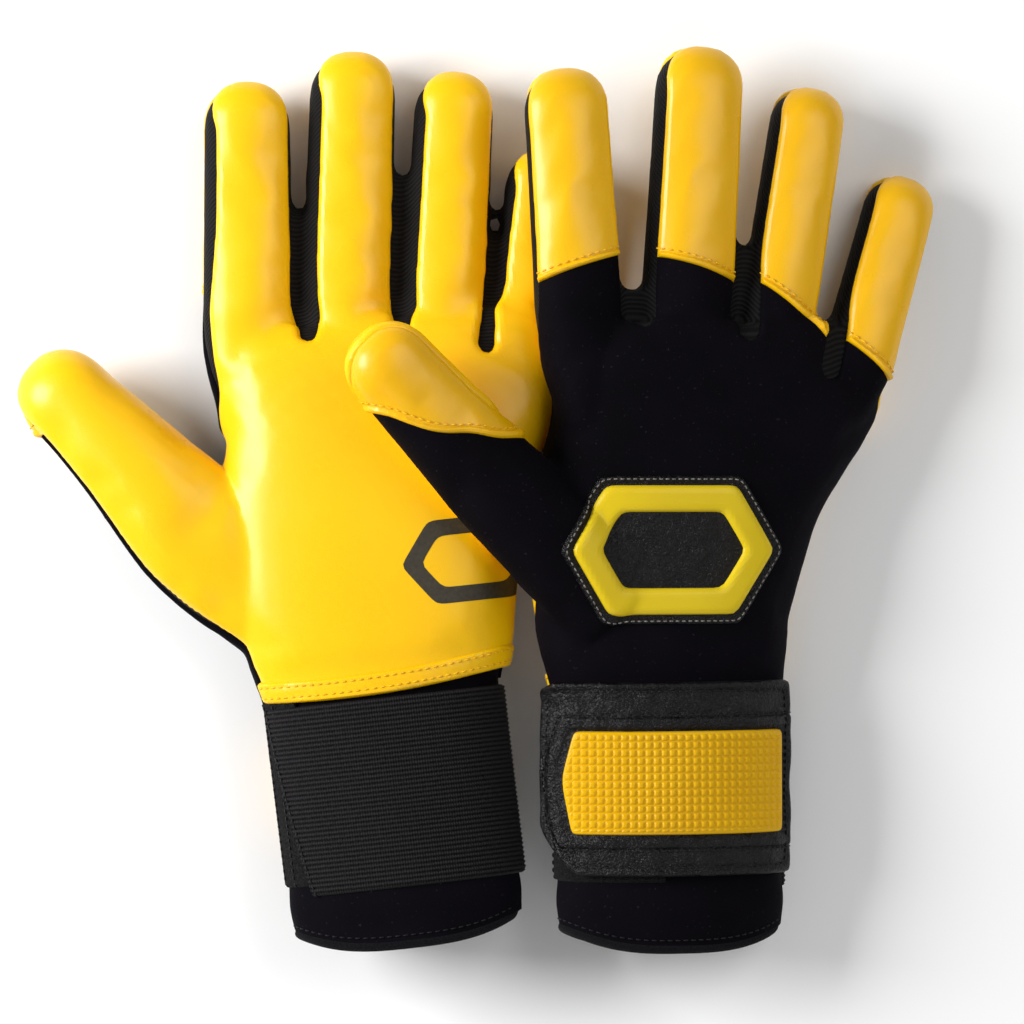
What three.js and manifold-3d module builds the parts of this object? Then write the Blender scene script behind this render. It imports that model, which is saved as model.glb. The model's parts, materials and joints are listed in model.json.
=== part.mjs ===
// A pair of goalkeeper gloves in millimetres, lying on a table as they are put down after a match: the left
// glove on its back with the palm up, the right glove palm down beside it, its thumb over the left palm.
//
// Each glove is drawn as a right-hand glove in its own frame: origin at the middle of the cuff's end, +y along
// the forearm towards the fingertips, +x towards the little finger, +z out of the back of the hand. The left
// glove is mirrored in z. The pair's frame has +Z up and its origin on the table, under the pair's middle.
import * as THREE from "three";
import { mergeVertices } from "three/addons/utils/BufferGeometryUtils.js";
import Module from "manifold-3d";

const wasm = await Module();
wasm.setup();

// ---- Driving dimensions ----
const WALL = 4; // foam-backed latex or neoprene
const GAP = 0.3; // between pieces that touch
const KNUCKLE_GAP = 0.6; // between a finger stall and the hand
const LINING = { gap: 0.8, thick: 1.5 };

// Finger stalls: where the knuckle line's middle is, and the length and width beyond it.
const FINGERS = {
  index: { base: [-31, 199], length: 79, width: 29.5 },
  middle: { base: [0.6, 202], length: 84, width: 30.5 },
  ring: { base: [30.6, 197], length: 76.5, width: 28 },
  little: { base: [57.4, 186], length: 59.5, width: 26 },
};
const FINGER_ROOT = 22; // how far a stall's tube runs down into the hand
const FINGER_THICK = 23;
const FINGER_HEIGHT = 6; // height of a stall's middle over the glove's mid-plane, at the knuckle
const FINGER_CURL = 3; // how far the tip's middle drops towards the palm
const FINGER_SEAM = 6; // the side gusset runs this far either side of the stall's middle

const THUMB = { base: [-56, 142], length: 68.5, width: 36, tipWidth: 27 };
const THUMB_ROOT = 50;
const THUMB_THICK = 25;
const THUMB_TIP_THICK = 22;
const THUMB_RISE = 4; // the tip's middle over the knuckle's middle

// The hand between wrist and knuckles: y, middle in x, half width, height of the back, depth of the palm.
const HAND = [
  [78, -1.5, 38.5, 16.5, 16.5],
  [92, -3, 40.5, 17, 17],
  [112, -2, 43, 17.5, 17.5],
  [134, 0.5, 45.5, 18.5, 17],
  [152, 6, 49.5, 19.5, 15.5],
  [172, 12.5, 55.5, 21, 13],
  [188, 13, 57.5, 21, 10.5],
  [203, 12.5, 52, 19, 8],
];
const HAND_START = 85.6;
const HAND_END = 202;
const FINGER_CLEARANCE = 1.6; // between a stall's slab and the hand beside it
const PALM_SEAM = -5; // height of the seam between the palm's latex and the back

// The wrist is an ellipse: the sleeve's outside is the reference for everything that goes round it.
const WRIST = { a: 37.5, b: 17, wall: 3.5, from: 4.8, to: 85 };
const SLIT = { half: 5.2, to: 26 }; // the cuff's slit, on the little finger's side
const BINDING = { radius: 1.9, y: 2, corner: 0.12, rim: 0.55 };
// Layers round the wrist: how far out they start and end, the arc in degrees (0 little finger's side,
// 90 back, 180 thumb's side, 270 palm) and the stretch along the forearm.
const LAYERS = {
  elastic_band: { inner: 0.3, outer: 2.8, arc: [213, 355], y: [22, 84] },
  loop_pad: { inner: 0.3, outer: 1.5, arc: [100, 211], y: [24, 82] },
  hook_pad: { inner: 1.8, outer: 2.8, arc: [108, 160], y: [29, 77] },
  closure_strap: { inner: 3.1, outer: 5.3, arc: [3, 168], y: [21.5, 84.5] },
  strap_patch: { inner: 5.6, outer: 7, arc: [24, 150], y: [35.5, 67.5] },
};
// The free ends, on the thumb's side: how far they reach from the forearm's middle, how much their corners
// fall short of that, and how round the corners are.
const STRAP_END = { reach: 42, slope: 3, corner: 12 };
const PATCH_END = { reach: 38.5, slope: 5, corner: 6 };

// The badge on the back: a backing, and a raised frame that stands inside its edge.
const EMBLEM = {
  centre: [-5, 125],
  width: 74,
  height: 46,
  point: 15,
  edge: 3,
  frame: 9,
  backing: 0.8,
  relief: 1.2,
};
const PALM_HEM = { y: [86.6, 93.6], thick: 2 };

// How each glove lies: the in-plane turn of the forearm, the roll about the forearm that lifts the thumb's
// side, the pitch that lowers the cuff, where the cuff's end is on the table, and each stall's lean.
const GLOVES = [
  {
    side: "left",
    mirrored: true,
    turn: 6.4,
    roll: 1.5,
    pitch: -1.6,
    cuff: [-17.2, -139.5],
    thumbLift: 0,
    lean: { thumb: 37.5, index: -5.9, middle: -8, ring: -9.4, little: -12.7 },
  },
  {
    side: "right",
    mirrored: false,
    turn: 0,
    roll: 14.4,
    pitch: 0.8,
    cuff: [67, -141],
    thumbLift: 9,
    lean: { thumb: 44, index: 2.9, middle: -4.8, ring: -9.1, little: -15.2 },
  },
];
const FLOOR_BITE = 0.6; // how much a glove flattens where it rests

// ---- Materials ----
const finish = (color, roughness) => new THREE.MeshStandardMaterial({ color, roughness, metalness: 0 });
const MATERIALS = {
  latex: finish(0xffd000, 0.5),
  hem: finish(0xf5b800, 0.55),
  neoprene: finish(0x15131a, 0.85),
  mesh: finish(0x2a2728, 0.9),
  elastic: finish(0x202022, 0.9),
  leather: finish(0x1c1a1d, 0.45),
  rubber: finish(0xf7d417, 0.45),
  fastener: finish(0x1d1b1c, 0.95),
  lining: finish(0x2b2b2e, 0.95),
};

// ---- Solids ----
const X = new THREE.Vector3(1, 0, 0);
const Z = new THREE.Vector3(0, 0, 1);
const DEG = Math.PI / 180;
const HUGE = 400;

function solid(geometry, matrix = new THREE.Matrix4()) {
  const bare = new THREE.BufferGeometry();
  bare.setAttribute("position", geometry.getAttribute("position").clone());
  if (geometry.index) bare.setIndex(geometry.index.clone());
  bare.applyMatrix4(matrix);
  const merged = mergeVertices(bare, 1e-4);
  const mesh = new wasm.Mesh({
    numProp: 3,
    vertProperties: merged.attributes.position.array,
    triVerts: new Uint32Array(merged.index.array),
  });
  return new wasm.Manifold(mesh);
}

function geometryOf(made, mirrored) {
  const mesh = made.getMesh();
  const vertices = new Float32Array(mesh.numVert * 3);
  for (let i = 0; i < mesh.numVert; i++) {
    vertices.set(mesh.vertProperties.subarray(i * mesh.numProp, i * mesh.numProp + 3), i * 3);
    if (mirrored) vertices[i * 3 + 2] *= -1;
  }
  const triangles = Uint32Array.from(mesh.triVerts);
  if (mirrored) {
    for (let i = 0; i < triangles.length; i += 3) {
      [triangles[i + 1], triangles[i + 2]] = [triangles[i + 2], triangles[i + 1]];
    }
  }
  const geometry = new THREE.BufferGeometry();
  geometry.setAttribute("position", new THREE.BufferAttribute(vertices, 3));
  geometry.setIndex(new THREE.BufferAttribute(triangles, 1));
  geometry.computeVertexNormals();
  return geometry;
}

// The box from one corner to the other, as a solid.
function block(low, high, matrix) {
  const size = high.map((v, i) => v - low[i]);
  const geometry = new THREE.BoxGeometry(...size);
  geometry.translate(...low.map((v, i) => v + size[i] / 2));
  return solid(geometry, matrix);
}

// A closed round body along y: a lathe whose sections are then drawn out to rounded rectangles. Each station
// gives y, middle in x, half width, height above and depth below the middle, and the middle's height.
function pod(stations, segments, power) {
  const ends = [stations[0], ...stations, stations.at(-1)];
  const profile = ends.map(([y], i) => new THREE.Vector2(i === 0 || i === ends.length - 1 ? 0 : 1, y));
  const geometry = new THREE.LatheGeometry(profile, segments);
  const position = geometry.getAttribute("position");
  const square = (v) => Math.sign(v) * Math.abs(v) ** (2 / power);
  for (let i = 0; i < position.count; i++) {
    const [, middle, half, above, below, height = 0] = ends[i % ends.length];
    const x = square(position.getX(i));
    const z = square(position.getZ(i));
    position.setX(i, middle + half * x);
    position.setZ(i, height + z * (z > 0 ? above : below));
  }
  return solid(geometry);
}

// The stations of a domed tip that ends at the given length, for that half width and half thickness.
function tipStations(length, half, thick, height) {
  return [0, 42, 74].map((angle) => {
    const share = Math.cos(angle * DEG);
    const y = length - half + half * Math.sin(angle * DEG);
    return [y, 0, half * share, thick * share, thick * share, height];
  });
}

// Where a stall stands in the glove's frame.
function stallMatrix([x, y], lift, lean) {
  const matrix = new THREE.Matrix4().makeRotationAxis(Z, lean * DEG);
  return matrix.setPosition(x, y, lift);
}

// A finger stall, grown by offset: whole, or only its root in the hand.
function fingerPod({ length, width }, offset, rootOnly) {
  const half = width / 2 + offset;
  const thick = FINGER_THICK / 2 + offset;
  const at = (y, grow) => {
    const height = FINGER_HEIGHT - FINGER_CURL * (Math.max(y, 0) / length) ** 2;
    return [y, 0, half * grow, thick * grow, thick * grow, height];
  };
  const root = [at(-FINGER_ROOT, 0.94), at(0, 1.02)];
  if (rootOnly) return pod([...root, at(8, 1.02)], 12, 2.4);
  const tip = tipStations(length + offset, half * 0.93, thick * 0.9, FINGER_HEIGHT - FINGER_CURL);
  return pod([...root, at(length * 0.4, 1), ...tip], 12, 2.4);
}

function thumbPod(offset, rootOnly) {
  const root = [
    [-THUMB_ROOT, 0, 20 + offset, 13.5 + offset, 12.5 + offset, 0],
    [-THUMB_ROOT / 2, 0, THUMB.width / 2 + 1.5 + offset, 13.5 + offset, 12.5 + offset, 0],
    [0, 0, THUMB.width / 2 + offset, THUMB_THICK / 2 + offset, THUMB_THICK / 2 + offset, 0],
  ];
  if (rootOnly) return pod([...root, [8, ...root.at(-1).slice(1)]], 14, 2.4);
  const half = THUMB.tipWidth / 2 + offset;
  const tip = tipStations(THUMB.length + offset, half, THUMB_TIP_THICK / 2 + offset, THUMB_RISE);
  return pod([...root, ...tip], 14, 2.4);
}

function handPod(offset) {
  const grown = HAND.map(([y, middle, ...reach]) => [y, middle, ...reach.map((v) => v + offset)]);
  return pod(grown, 20, 2.8);
}

// An outline given by points whose corners are rounded off, as a shape.
function roundedShape(points, radius) {
  const shape = new THREE.Shape();
  points.forEach((p, i) => {
    const corner = new THREE.Vector2(...p);
    const before = new THREE.Vector2(...points[(i + points.length - 1) % points.length]);
    const after = new THREE.Vector2(...points[(i + 1) % points.length]);
    const start = before.sub(corner).setLength(radius).add(corner);
    const end = after.sub(corner).setLength(radius).add(corner);
    if (i === 0) shape.moveTo(start.x, start.y);
    else shape.lineTo(start.x, start.y);
    shape.quadraticCurveTo(corner.x, corner.y, end.x, end.y);
  });
  shape.closePath();
  return shape;
}

// A shape drawn in the glove's xy plane, as a solid that runs from one height to another.
function prism(shape, from, to) {
  const settings = { depth: to - from, bevelEnabled: false, curveSegments: 3 };
  return solid(new THREE.ExtrudeGeometry(shape, settings).translate(0, 0, from));
}

// The badge's outline: a long hexagon with blunt ends.
function badgeShape(inset) {
  const [x, y] = EMBLEM.centre;
  const w = EMBLEM.width / 2 - inset;
  const h = EMBLEM.height / 2 - inset;
  const p = EMBLEM.point;
  const corners = [
    [x - w, y],
    [x - w + p, y - h],
    [x + w - p, y - h],
    [x + w, y],
    [x + w - p, y + h],
    [x - w + p, y + h],
  ];
  return roundedShape(corners, 4);
}

// A stretch of the wrist's ellipse, between two offsets from the sleeve's outside.
function wristLayer({ inner, outer, arc, y }) {
  const steps = Math.max(6, Math.round((arc[1] - arc[0]) / 12));
  const along = (offset, reverse) =>
    Array.from({ length: steps + 1 }, (_, i) => {
      const share = reverse ? 1 - i / steps : i / steps;
      const angle = (arc[0] + (arc[1] - arc[0]) * share) * DEG;
      return new THREE.Vector2((WRIST.a + offset) * Math.cos(angle), (WRIST.b + offset) * Math.sin(angle));
    });
  return forearmPrism(new THREE.Shape([...along(outer, false), ...along(inner, true)]), y[0], y[1]);
}

// A shape drawn across the forearm (x and z), as a solid that runs along it.
function forearmPrism(shape, from, to) {
  const settings = { depth: to - from, bevelEnabled: false, curveSegments: 28 };
  const geometry = new THREE.ExtrudeGeometry(shape, settings);
  return solid(geometry.rotateX(Math.PI / 2).translate(0, to, 0));
}

function sleeve() {
  const ring = new THREE.Shape().absellipse(0, 0, WRIST.a, WRIST.b, 0, 2 * Math.PI);
  const a = WRIST.a - WRIST.wall;
  const b = WRIST.b - WRIST.wall;
  ring.holes.push(new THREE.Path().absellipse(0, 0, a, b, 0, 2 * Math.PI));
  const slit = block([0, -1, -SLIT.half], [HUGE, SLIT.to, SLIT.half]);
  return forearmPrism(ring, WRIST.from, WRIST.to).subtract(slit);
}

// The piping along the cuff's edge: up one side of the slit, round the hem and up the other side.
function binding() {
  const a = WRIST.a - WRIST.wall / 2;
  const b = WRIST.b - WRIST.wall / 2;
  const edge = SLIT.half - BINDING.radius - 2 * GAP;
  const first = Math.asin(edge / b);
  const top = SLIT.to - BINDING.radius - GAP;
  const at = (angle, y) => new THREE.Vector3(a * Math.cos(angle), y, b * Math.sin(angle));
  const turn = at(first + BINDING.corner, BINDING.y);
  const half = [at(first, top), at(first, top / 2), at(first, BINDING.y + 2.5), turn];
  const step = (2 * (Math.PI - BINDING.rim)) / 14;
  const rim = Array.from({ length: 15 }, (_, i) => at(BINDING.rim + step * i, BINDING.y));
  const mirrored = half.map((p) => new THREE.Vector3(p.x, p.y, -p.z)).reverse();
  const path = new THREE.CatmullRomCurve3([...half, ...rim, ...mirrored]);
  const section = new THREE.Shape().absarc(0, 0, BINDING.radius, 0, 2 * Math.PI);
  const settings = { steps: 36, bevelEnabled: false, extrudePath: path, curveSegments: 4 };
  return solid(new THREE.ExtrudeGeometry(section, settings));
}

// The strap and its patch have a free end with rounded corners, on the thumb's side.
function strapOutline([low, high], { reach, slope, corner }) {
  const points = [
    [HUGE, low],
    [HUGE, high],
    [-reach + slope, high],
    [-reach, (low + high) / 2],
    [-reach + slope, low],
  ];
  return prism(roundedShape(points, corner), -1, HUGE);
}

// ---- One glove ----
function buildGlove({ side, mirrored, turn, roll, pitch, cuff, thumbLift, lean }) {
  const stalls = { thumb: THUMB, ...FINGERS };
  const liftOf = (name) => (name === "thumb" ? thumbLift : 0);
  const matrixOf = (name) => stallMatrix(stalls[name].base, liftOf(name), lean[name]);
  const stallPod = (name, offset, rootOnly) => {
    const made = name === "thumb" ? thumbPod(offset, rootOnly) : fingerPod(FINGERS[name], offset, rootOnly);
    return made.transform(matrixOf(name).toArray());
  };
  // The hand with the roots of its stalls, grown by offset.
  const hand = (offset) => {
    const roots = Object.keys(stalls).map((name) => stallPod(name, offset, true));
    return roots.reduce((all, root) => all.add(root), handPod(offset));
  };

  // Everything beyond the knuckle lines, and the wrist below the hand.
  const beyond = Object.keys(stalls).map((name) => {
    const reach = stalls[name].width / 2 + FINGER_CLEARANCE;
    return block([-reach, 0, -HUGE], [reach, HUGE, HUGE], matrixOf(name));
  });
  beyond.push(block([-HUGE, HAND_END, -HUGE], [HUGE, HUGE, HUGE]));
  beyond.push(block([-HUGE, -HUGE, -HUGE], [HUGE, HAND_START, HUGE]));
  const trimmed = (made) => beyond.reduce((left, cutter) => left.subtract(cutter), made);
  const above = (z) => block([-HUGE, -HUGE, z], [HUGE, HUGE, HUGE]);
  const below = (z) => block([-HUGE, -HUGE, -HUGE], [HUGE, HUGE, z]);
  const between = (low, high) => block([-HUGE, low, -HUGE], [HUGE, high, HUGE]);

  const outside = hand(0);
  const shell = trimmed(outside.subtract(hand(-WALL)));
  const proud = hand(GAP);
  const pieces = {
    palm_latex: [shell.subtract(above(PALM_SEAM)), MATERIALS.latex],
    back_panel: [shell.subtract(below(PALM_SEAM + GAP)), MATERIALS.neoprene],
  };

  const lined = -WALL - LINING.gap;
  const inner = handPod(lined).subtract(handPod(lined - LINING.thick));
  const openings = Object.keys(stalls).map((n) => stallPod(n, lined - LINING.thick, true));
  pieces.hand_lining = [trimmed(openings.reduce((left, o) => left.subtract(o), inner)), MATERIALS.lining];

  const backing = hand(GAP + EMBLEM.backing).subtract(proud).intersect(prism(badgeShape(0), 0, HUGE));
  const badgeHole = prism(badgeShape(EMBLEM.edge + EMBLEM.frame), -1, HUGE + 1);
  const badgeRing = prism(badgeShape(EMBLEM.edge), 0, HUGE).subtract(badgeHole);
  const raised = hand(2 * GAP + EMBLEM.backing + EMBLEM.relief).subtract(hand(2 * GAP + EMBLEM.backing));
  pieces.emblem_backing = [backing, MATERIALS.leather];
  pieces.emblem_frame = [raised.intersect(badgeRing), MATERIALS.rubber];

  const hem = hand(GAP + PALM_HEM.thick).subtract(proud).intersect(between(...PALM_HEM.y));
  pieces.palm_hem = [hem.subtract(above(PALM_SEAM)), MATERIALS.hem];

  pieces.cuff_sleeve = [sleeve(), MATERIALS.neoprene];
  pieces.cuff_binding = [binding(), MATERIALS.fastener];
  pieces.elastic_band = [wristLayer(LAYERS.elastic_band), MATERIALS.elastic];
  pieces.loop_pad = [wristLayer(LAYERS.loop_pad), MATERIALS.fastener];
  pieces.hook_pad = [wristLayer(LAYERS.hook_pad), MATERIALS.fastener];
  const strapShape = strapOutline(LAYERS.closure_strap.y, STRAP_END);
  pieces.closure_strap = [wristLayer(LAYERS.closure_strap).intersect(strapShape), MATERIALS.leather];
  const patchShape = strapOutline(LAYERS.strap_patch.y, PATCH_END);
  pieces.strap_patch = [wristLayer(LAYERS.strap_patch).intersect(patchShape), MATERIALS.rubber];

  for (const name of Object.keys(stalls)) {
    const root = block([-HUGE, -HUGE, -HUGE], [HUGE, KNUCKLE_GAP, HUGE], matrixOf(name));
    const stall = stallPod(name, 0).subtract(stallPod(name, -WALL)).subtract(root);
    const height = name === "thumb" ? thumbLift + THUMB_RISE / 2 : FINGER_HEIGHT - FINGER_CURL / 3;
    const low = height - FINGER_SEAM;
    const high = height + FINGER_SEAM;
    pieces[name + "_palm"] = [stall.subtract(above(low)), MATERIALS.latex];
    pieces[name + "_back"] = [stall.subtract(below(high)), MATERIALS.latex];
    const side = stall.subtract(below(low + GAP)).subtract(above(high - GAP));
    pieces[name + "_gusset"] = [side, MATERIALS.mesh];
  }

  // Lay the glove down: roll, then pitch, then turn, and lower it until it bites the table.
  const flip = mirrored ? -1 : 1;
  const laid = new THREE.Matrix4().makeRotationAxis(Z, turn * DEG);
  laid.multiply(new THREE.Matrix4().makeRotationAxis(X, pitch * DEG));
  laid.multiply(new THREE.Matrix4().makeRotationY(roll * DEG));
  const group = new THREE.Group();
  const geometries = {};
  const box = new THREE.Box3();
  for (const [name, [made]] of Object.entries(pieces)) {
    geometries[name] = geometryOf(made, mirrored);
    const turned = geometries[name].clone().applyMatrix4(laid);
    box.union(new THREE.Box3().setFromBufferAttribute(turned.attributes.position));
  }
  group.applyMatrix4(laid);
  group.position.set(cuff[0], cuff[1], -box.min.z - FLOOR_BITE);
  group.updateMatrixWorld(true);

  const floor = block([-HUGE, -HUGE, -HUGE], [HUGE, HUGE, 0], group.matrixWorld.clone().invert());
  for (const [name, [, material]] of Object.entries(pieces)) {
    const flattened = solid(geometries[name]).subtract(floor);
    const mesh = new THREE.Mesh(geometryOf(flattened, false), material);
    mesh.name = side + "_" + name;
    group.add(mesh);
  }
  return group;
}

// ---- The pair ----
const pair = new THREE.Group();
pair.add(...GLOVES.map(buildGlove));
pair.updateMatrixWorld(true);
const extent = new THREE.Box3().setFromObject(pair, true);
const middle = extent.getCenter(new THREE.Vector3());
pair.position.set(-middle.x, -middle.y, 0);

export default pair;
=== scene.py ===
import json
import math

import bpy
import numpy as np
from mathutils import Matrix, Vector
from mathutils.kdtree import KDTree


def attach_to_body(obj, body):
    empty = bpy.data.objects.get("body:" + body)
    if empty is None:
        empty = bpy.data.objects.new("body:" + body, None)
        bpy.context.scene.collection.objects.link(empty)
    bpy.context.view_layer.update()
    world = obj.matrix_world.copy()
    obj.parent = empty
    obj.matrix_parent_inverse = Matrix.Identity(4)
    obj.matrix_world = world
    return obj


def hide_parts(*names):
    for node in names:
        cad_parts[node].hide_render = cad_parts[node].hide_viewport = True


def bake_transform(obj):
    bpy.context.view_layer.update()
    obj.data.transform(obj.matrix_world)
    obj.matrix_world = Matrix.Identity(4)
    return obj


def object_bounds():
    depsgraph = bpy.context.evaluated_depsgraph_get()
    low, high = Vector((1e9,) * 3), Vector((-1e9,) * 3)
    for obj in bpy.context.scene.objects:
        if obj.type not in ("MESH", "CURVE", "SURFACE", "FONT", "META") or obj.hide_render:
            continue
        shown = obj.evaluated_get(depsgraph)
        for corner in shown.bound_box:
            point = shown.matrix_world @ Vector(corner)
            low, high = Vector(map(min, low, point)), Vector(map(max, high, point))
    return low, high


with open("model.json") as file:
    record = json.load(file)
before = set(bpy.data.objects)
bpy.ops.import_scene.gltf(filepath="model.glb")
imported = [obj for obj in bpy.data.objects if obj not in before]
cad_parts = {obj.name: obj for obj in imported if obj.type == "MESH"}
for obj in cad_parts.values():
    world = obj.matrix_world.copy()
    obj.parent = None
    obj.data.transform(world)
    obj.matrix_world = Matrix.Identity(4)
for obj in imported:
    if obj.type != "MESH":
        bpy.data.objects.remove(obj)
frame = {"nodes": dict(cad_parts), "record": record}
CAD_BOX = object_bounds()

MM = 0.001
SIDES = ("left", "right")
FINGERS = ("index", "middle", "ring", "little")
STALLS = ("thumb",) + FINGERS

# ---- Driving dimensions, in millimetres ----
SKIN_VOXEL = 1.6
SKIN_SMOOTHING = 14
# The cloth simulation of the panels: voxel, width held at the seams, pressure, spare cloth, the furthest move
# and the simulation's steps. The solver works at scale times the size in millimetres.
SETTLING = {"voxel": 4.5, "pinned": 2.2, "pressure": 4.0, "spare": 0.022, "cap": 1.4, "steps": 22,
            "scale": 0.01}
# The hand from the cuff's end to the knuckles: y, middle in x, half width, above, below, squareness.
HAND = (
    (-8, 0.4, 36.8, 16.9, 16.9, 2.0),
    (20, 0, 37.3, 16.9, 16.9, 2.0),
    (76, -0.4, 37.6, 16.8, 16.7, 2.0),
    (86, -1.8, 39.0, 16.9, 16.8, 2.2),
    (98, -2.6, 41.4, 17.3, 17.2, 2.4),
    (116, -0.6, 44.4, 17.9, 17.6, 2.4),
    (136, 2.7, 47.5, 18.7, 17.0, 2.4),
    (154, 9.4, 52.6, 19.6, 15.2, 2.5),
    (172, 14.4, 56.4, 20.6, 12.2, 2.6),
    (186, 14.2, 56.2, 20.4, 9.0, 2.7),
    (198, 12.6, 49.0, 18.4, 5.2, 2.8),
)
EASED = {"y": (160, 178, 199, 207), "steps": 36}  # where the palm side is levelled round the knuckles
PRESSED = {"left_little": 2.8}  # how far the other glove presses a finger's palm side down
# The stalls' lofts: how far they reach into the hand, the dome's length as a share of the half width, and the
# section's squareness; how much they narrow to the tip, and how much thinner and narrower they are inside the
# hand.
FINGER_ROOT = {"index": 34, "middle": 34, "ring": 34, "little": 24}
FINGER_LOFT = {"dome": 0.95, "power": 2.35, "taper": 0.06, "sunk": 0.3, "drawn": 0.45}
THUMB_ROOT = 50
THUMB_LOFT = {"dome": 0.86, "power": 2.4, "taper": 0.24, "sunk": 0.3, "drawn": -0.02}
TIP_POWER = 2.3  # how blunt a stall's tip is
WEB_LOFT = {"from": -16, "overlap": 3.0, "half_thick": 5.0, "power": 2.4}
WAIST = 3.0  # how much the hand draws in between thumb and index
HEEL = {"left": 5.0, "right": 0.0}  # how far the palm's heel stands out on the little finger's side
THUMB_HEEL = {"left": 7.0, "right": 0.0}  # how far the thumb's root stands out
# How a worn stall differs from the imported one: sideways at the knuckle, its turn in degrees, its length and
# its half width under the latex.
WORN = {
    "left": {"thumb": (0, 3.0, -1, -0.6), "index": (0.1, -0.2, -0.8, 0.3), "middle": (1.0, 0, -2.4, -0.2),
             "ring": (2.1, 0, 0, 0.0), "little": (0.2, 0, 0, -0.9)},
    "right": {"thumb": (0, 0, 0, -1.0), "index": (-1.3, 0.3, -0.8, -0.3), "middle": (2.9, 0.9, -1.0, 0.0),
              "ring": (2.6, -0.7, -0.6, -1.4), "little": (3.4, -1.8, 0, -1.1)},
}
CUFF_END = (3.2, -3.2)  # at the sides and in the middle
SLIT = {"half": 3.4, "to": 24.0}
SLEEVE_END = 78.0
HEM_BAND = (79.6, 87.0, 0.045)  # its lower and upper edge, and its slant
HEM_SAG = 2.6  # how far the hem's middle hangs towards the cuff
HEM_ROWS = (2.2, 1.7)  # the stitch rows' distance from the hem's lower and upper edge
CUFF_PUFF = {"at": 11, "wide": 6.5, "high": 0.9}
LINING = {"y": (64, 184), "thumb": -4, "deep": 4.3, "thick": 0.9}
BLEND = (2.0, 30.0)  # a stall bends between these distances beyond its knuckle
TIP_PAD = 2.4
# Seams, as shares of a stall's half thickness from its middle: at the thumb's side, at the tip and at the
# other side.
PALM_EDGE = (0.8, 0.1, 0.52)
BACK_EDGE = (0.62, 0.12, 0.6)
# Height of the seam on the hand: the thumb's side and the other side.
HAND_EDGE = {"left": (-5.5, 1.5), "right": (-6.0, -5.5)}
WEB_PALM = {"radius": 2.7, "shift": (3.0, 0.8, -1.0), "y": (195.0, 192.6, 184.6)}
WEB_BACK = {"radius": 3.6, "shift": (1.6, 1.6, 1.6), "y": (200.0, 195.5, 183.0)}
WEB_TOP = {"left": (34, 45, 29), "right": (8, 24, 8)}  # how far up the gussets close the gaps between fingers
CROTCH = {"left": (-37.0, 151.0), "right": (-42.0, 161.0)}
CROTCH_EDGE = {"left": 3.0, "right": -6.0}  # height of the palm's seam between thumb and index
WEB_TAPER = (92, 11)  # how a web's gusset narrows towards the fingertips: over this length, by this much

# Panels: their height over the skin, depth at the seam, rounding and thickness, and the distances from the
# seam where extra edges keep the rounding crisp.
LATEX = {"height": 1.4, "sink": 0.8, "round": 2.8, "thick": 3.2, "edges": (0.35, 0.9, 1.8, 2.8)}
KNIT = {"height": -0.7, "sink": 0.9, "round": 1.5, "thick": 2.2, "edges": (0.3, 0.9)}
NEOPRENE = {"height": 0.7, "sink": 0.6, "round": 1.9, "thick": 2.8, "edges": (0.35, 0.9, 1.9)}

# Where each finger's back latex starts: distance beyond the knuckle at the stall's middle, and its slope.
BACK_HEM = {"index": (17.4, 0.28), "middle": (14.2, -0.24), "ring": (8.0, -0.55), "little": (1.6, -0.42)}
THUMB_HEM = {"from": (-11.5, 49.0), "to": (22.5, -1.0), "inner": 19.5}
HEM_WIDTH = 1.9

# Layers round the wrist: their height over the skin, the arc in degrees (0 little finger's side, 90 back, 180
# thumb's side, 270 palm) and the stretch along the forearm.
ELASTIC = {"at": 0.4, "thick": 2.0, "arc": (184, 357), "y": (14.6, 75.8), "pitch": 1.5, "lean": (219, 192)}
LOOP = {"at": 0.3, "thick": 1.1, "arc": (100, 222), "y": (18.0, 78.5), "rows": (189, 203)}
STRAP = {"at": 4.9, "thick": 2.0, "arc": (26, 178), "y": (20.0, 82.6),
         "reach": {"left": 38.6, "right": 42.2}, "flare": {"left": 0.0, "right": 2.2}}
PATCH = {"at": 5.2, "thick": 1.0, "arc": (30, 170), "x": (-38.2, 33.6), "y": (33.6, 66.8), "pitch": 2.55}
HOOK = {"at": 2.7, "thick": 0.9, "arc": (108, 160), "y": (29, 77)}
BADGE = {"centre": (-5.0, 125.0), "width": 76, "height": 48, "point": 15, "edge": 3.2, "frame": 8.6}
PRINT = {"centre": (33.0, 117.0), "width": 46, "height": 27, "point": 10, "frame": 5.2}
# How thick the shells of these pieces are, and the threads' sizes: from stitch to stitch, a stitch's length
# and the thread's radius.
SHELL = {"hem": 3.4, "badge": 1.6, "elastic": 1.9, "loops": 1.3, "leather": 1.7, "studs": 1.2, "hooks": 0.8,
         "print": 0.05}
LATEX_THREAD = {"pitch": 2.7, "length": 1.8, "radius": 0.3}
BADGE_THREAD = {"pitch": 2.1, "length": 1.3, "radius": 0.24, "lift": 0.05}
BAND_THREAD = {"pitch": 2.4, "length": 1.6, "radius": 0.3}
STRAP_THREAD = {"pitch": 2.3, "length": 1.5, "radius": 0.26}
CUFF_THREAD = {"pitch": 2.6, "length": 1.5, "radius": 0.22}
PIPING = 1.75  # radius


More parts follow.
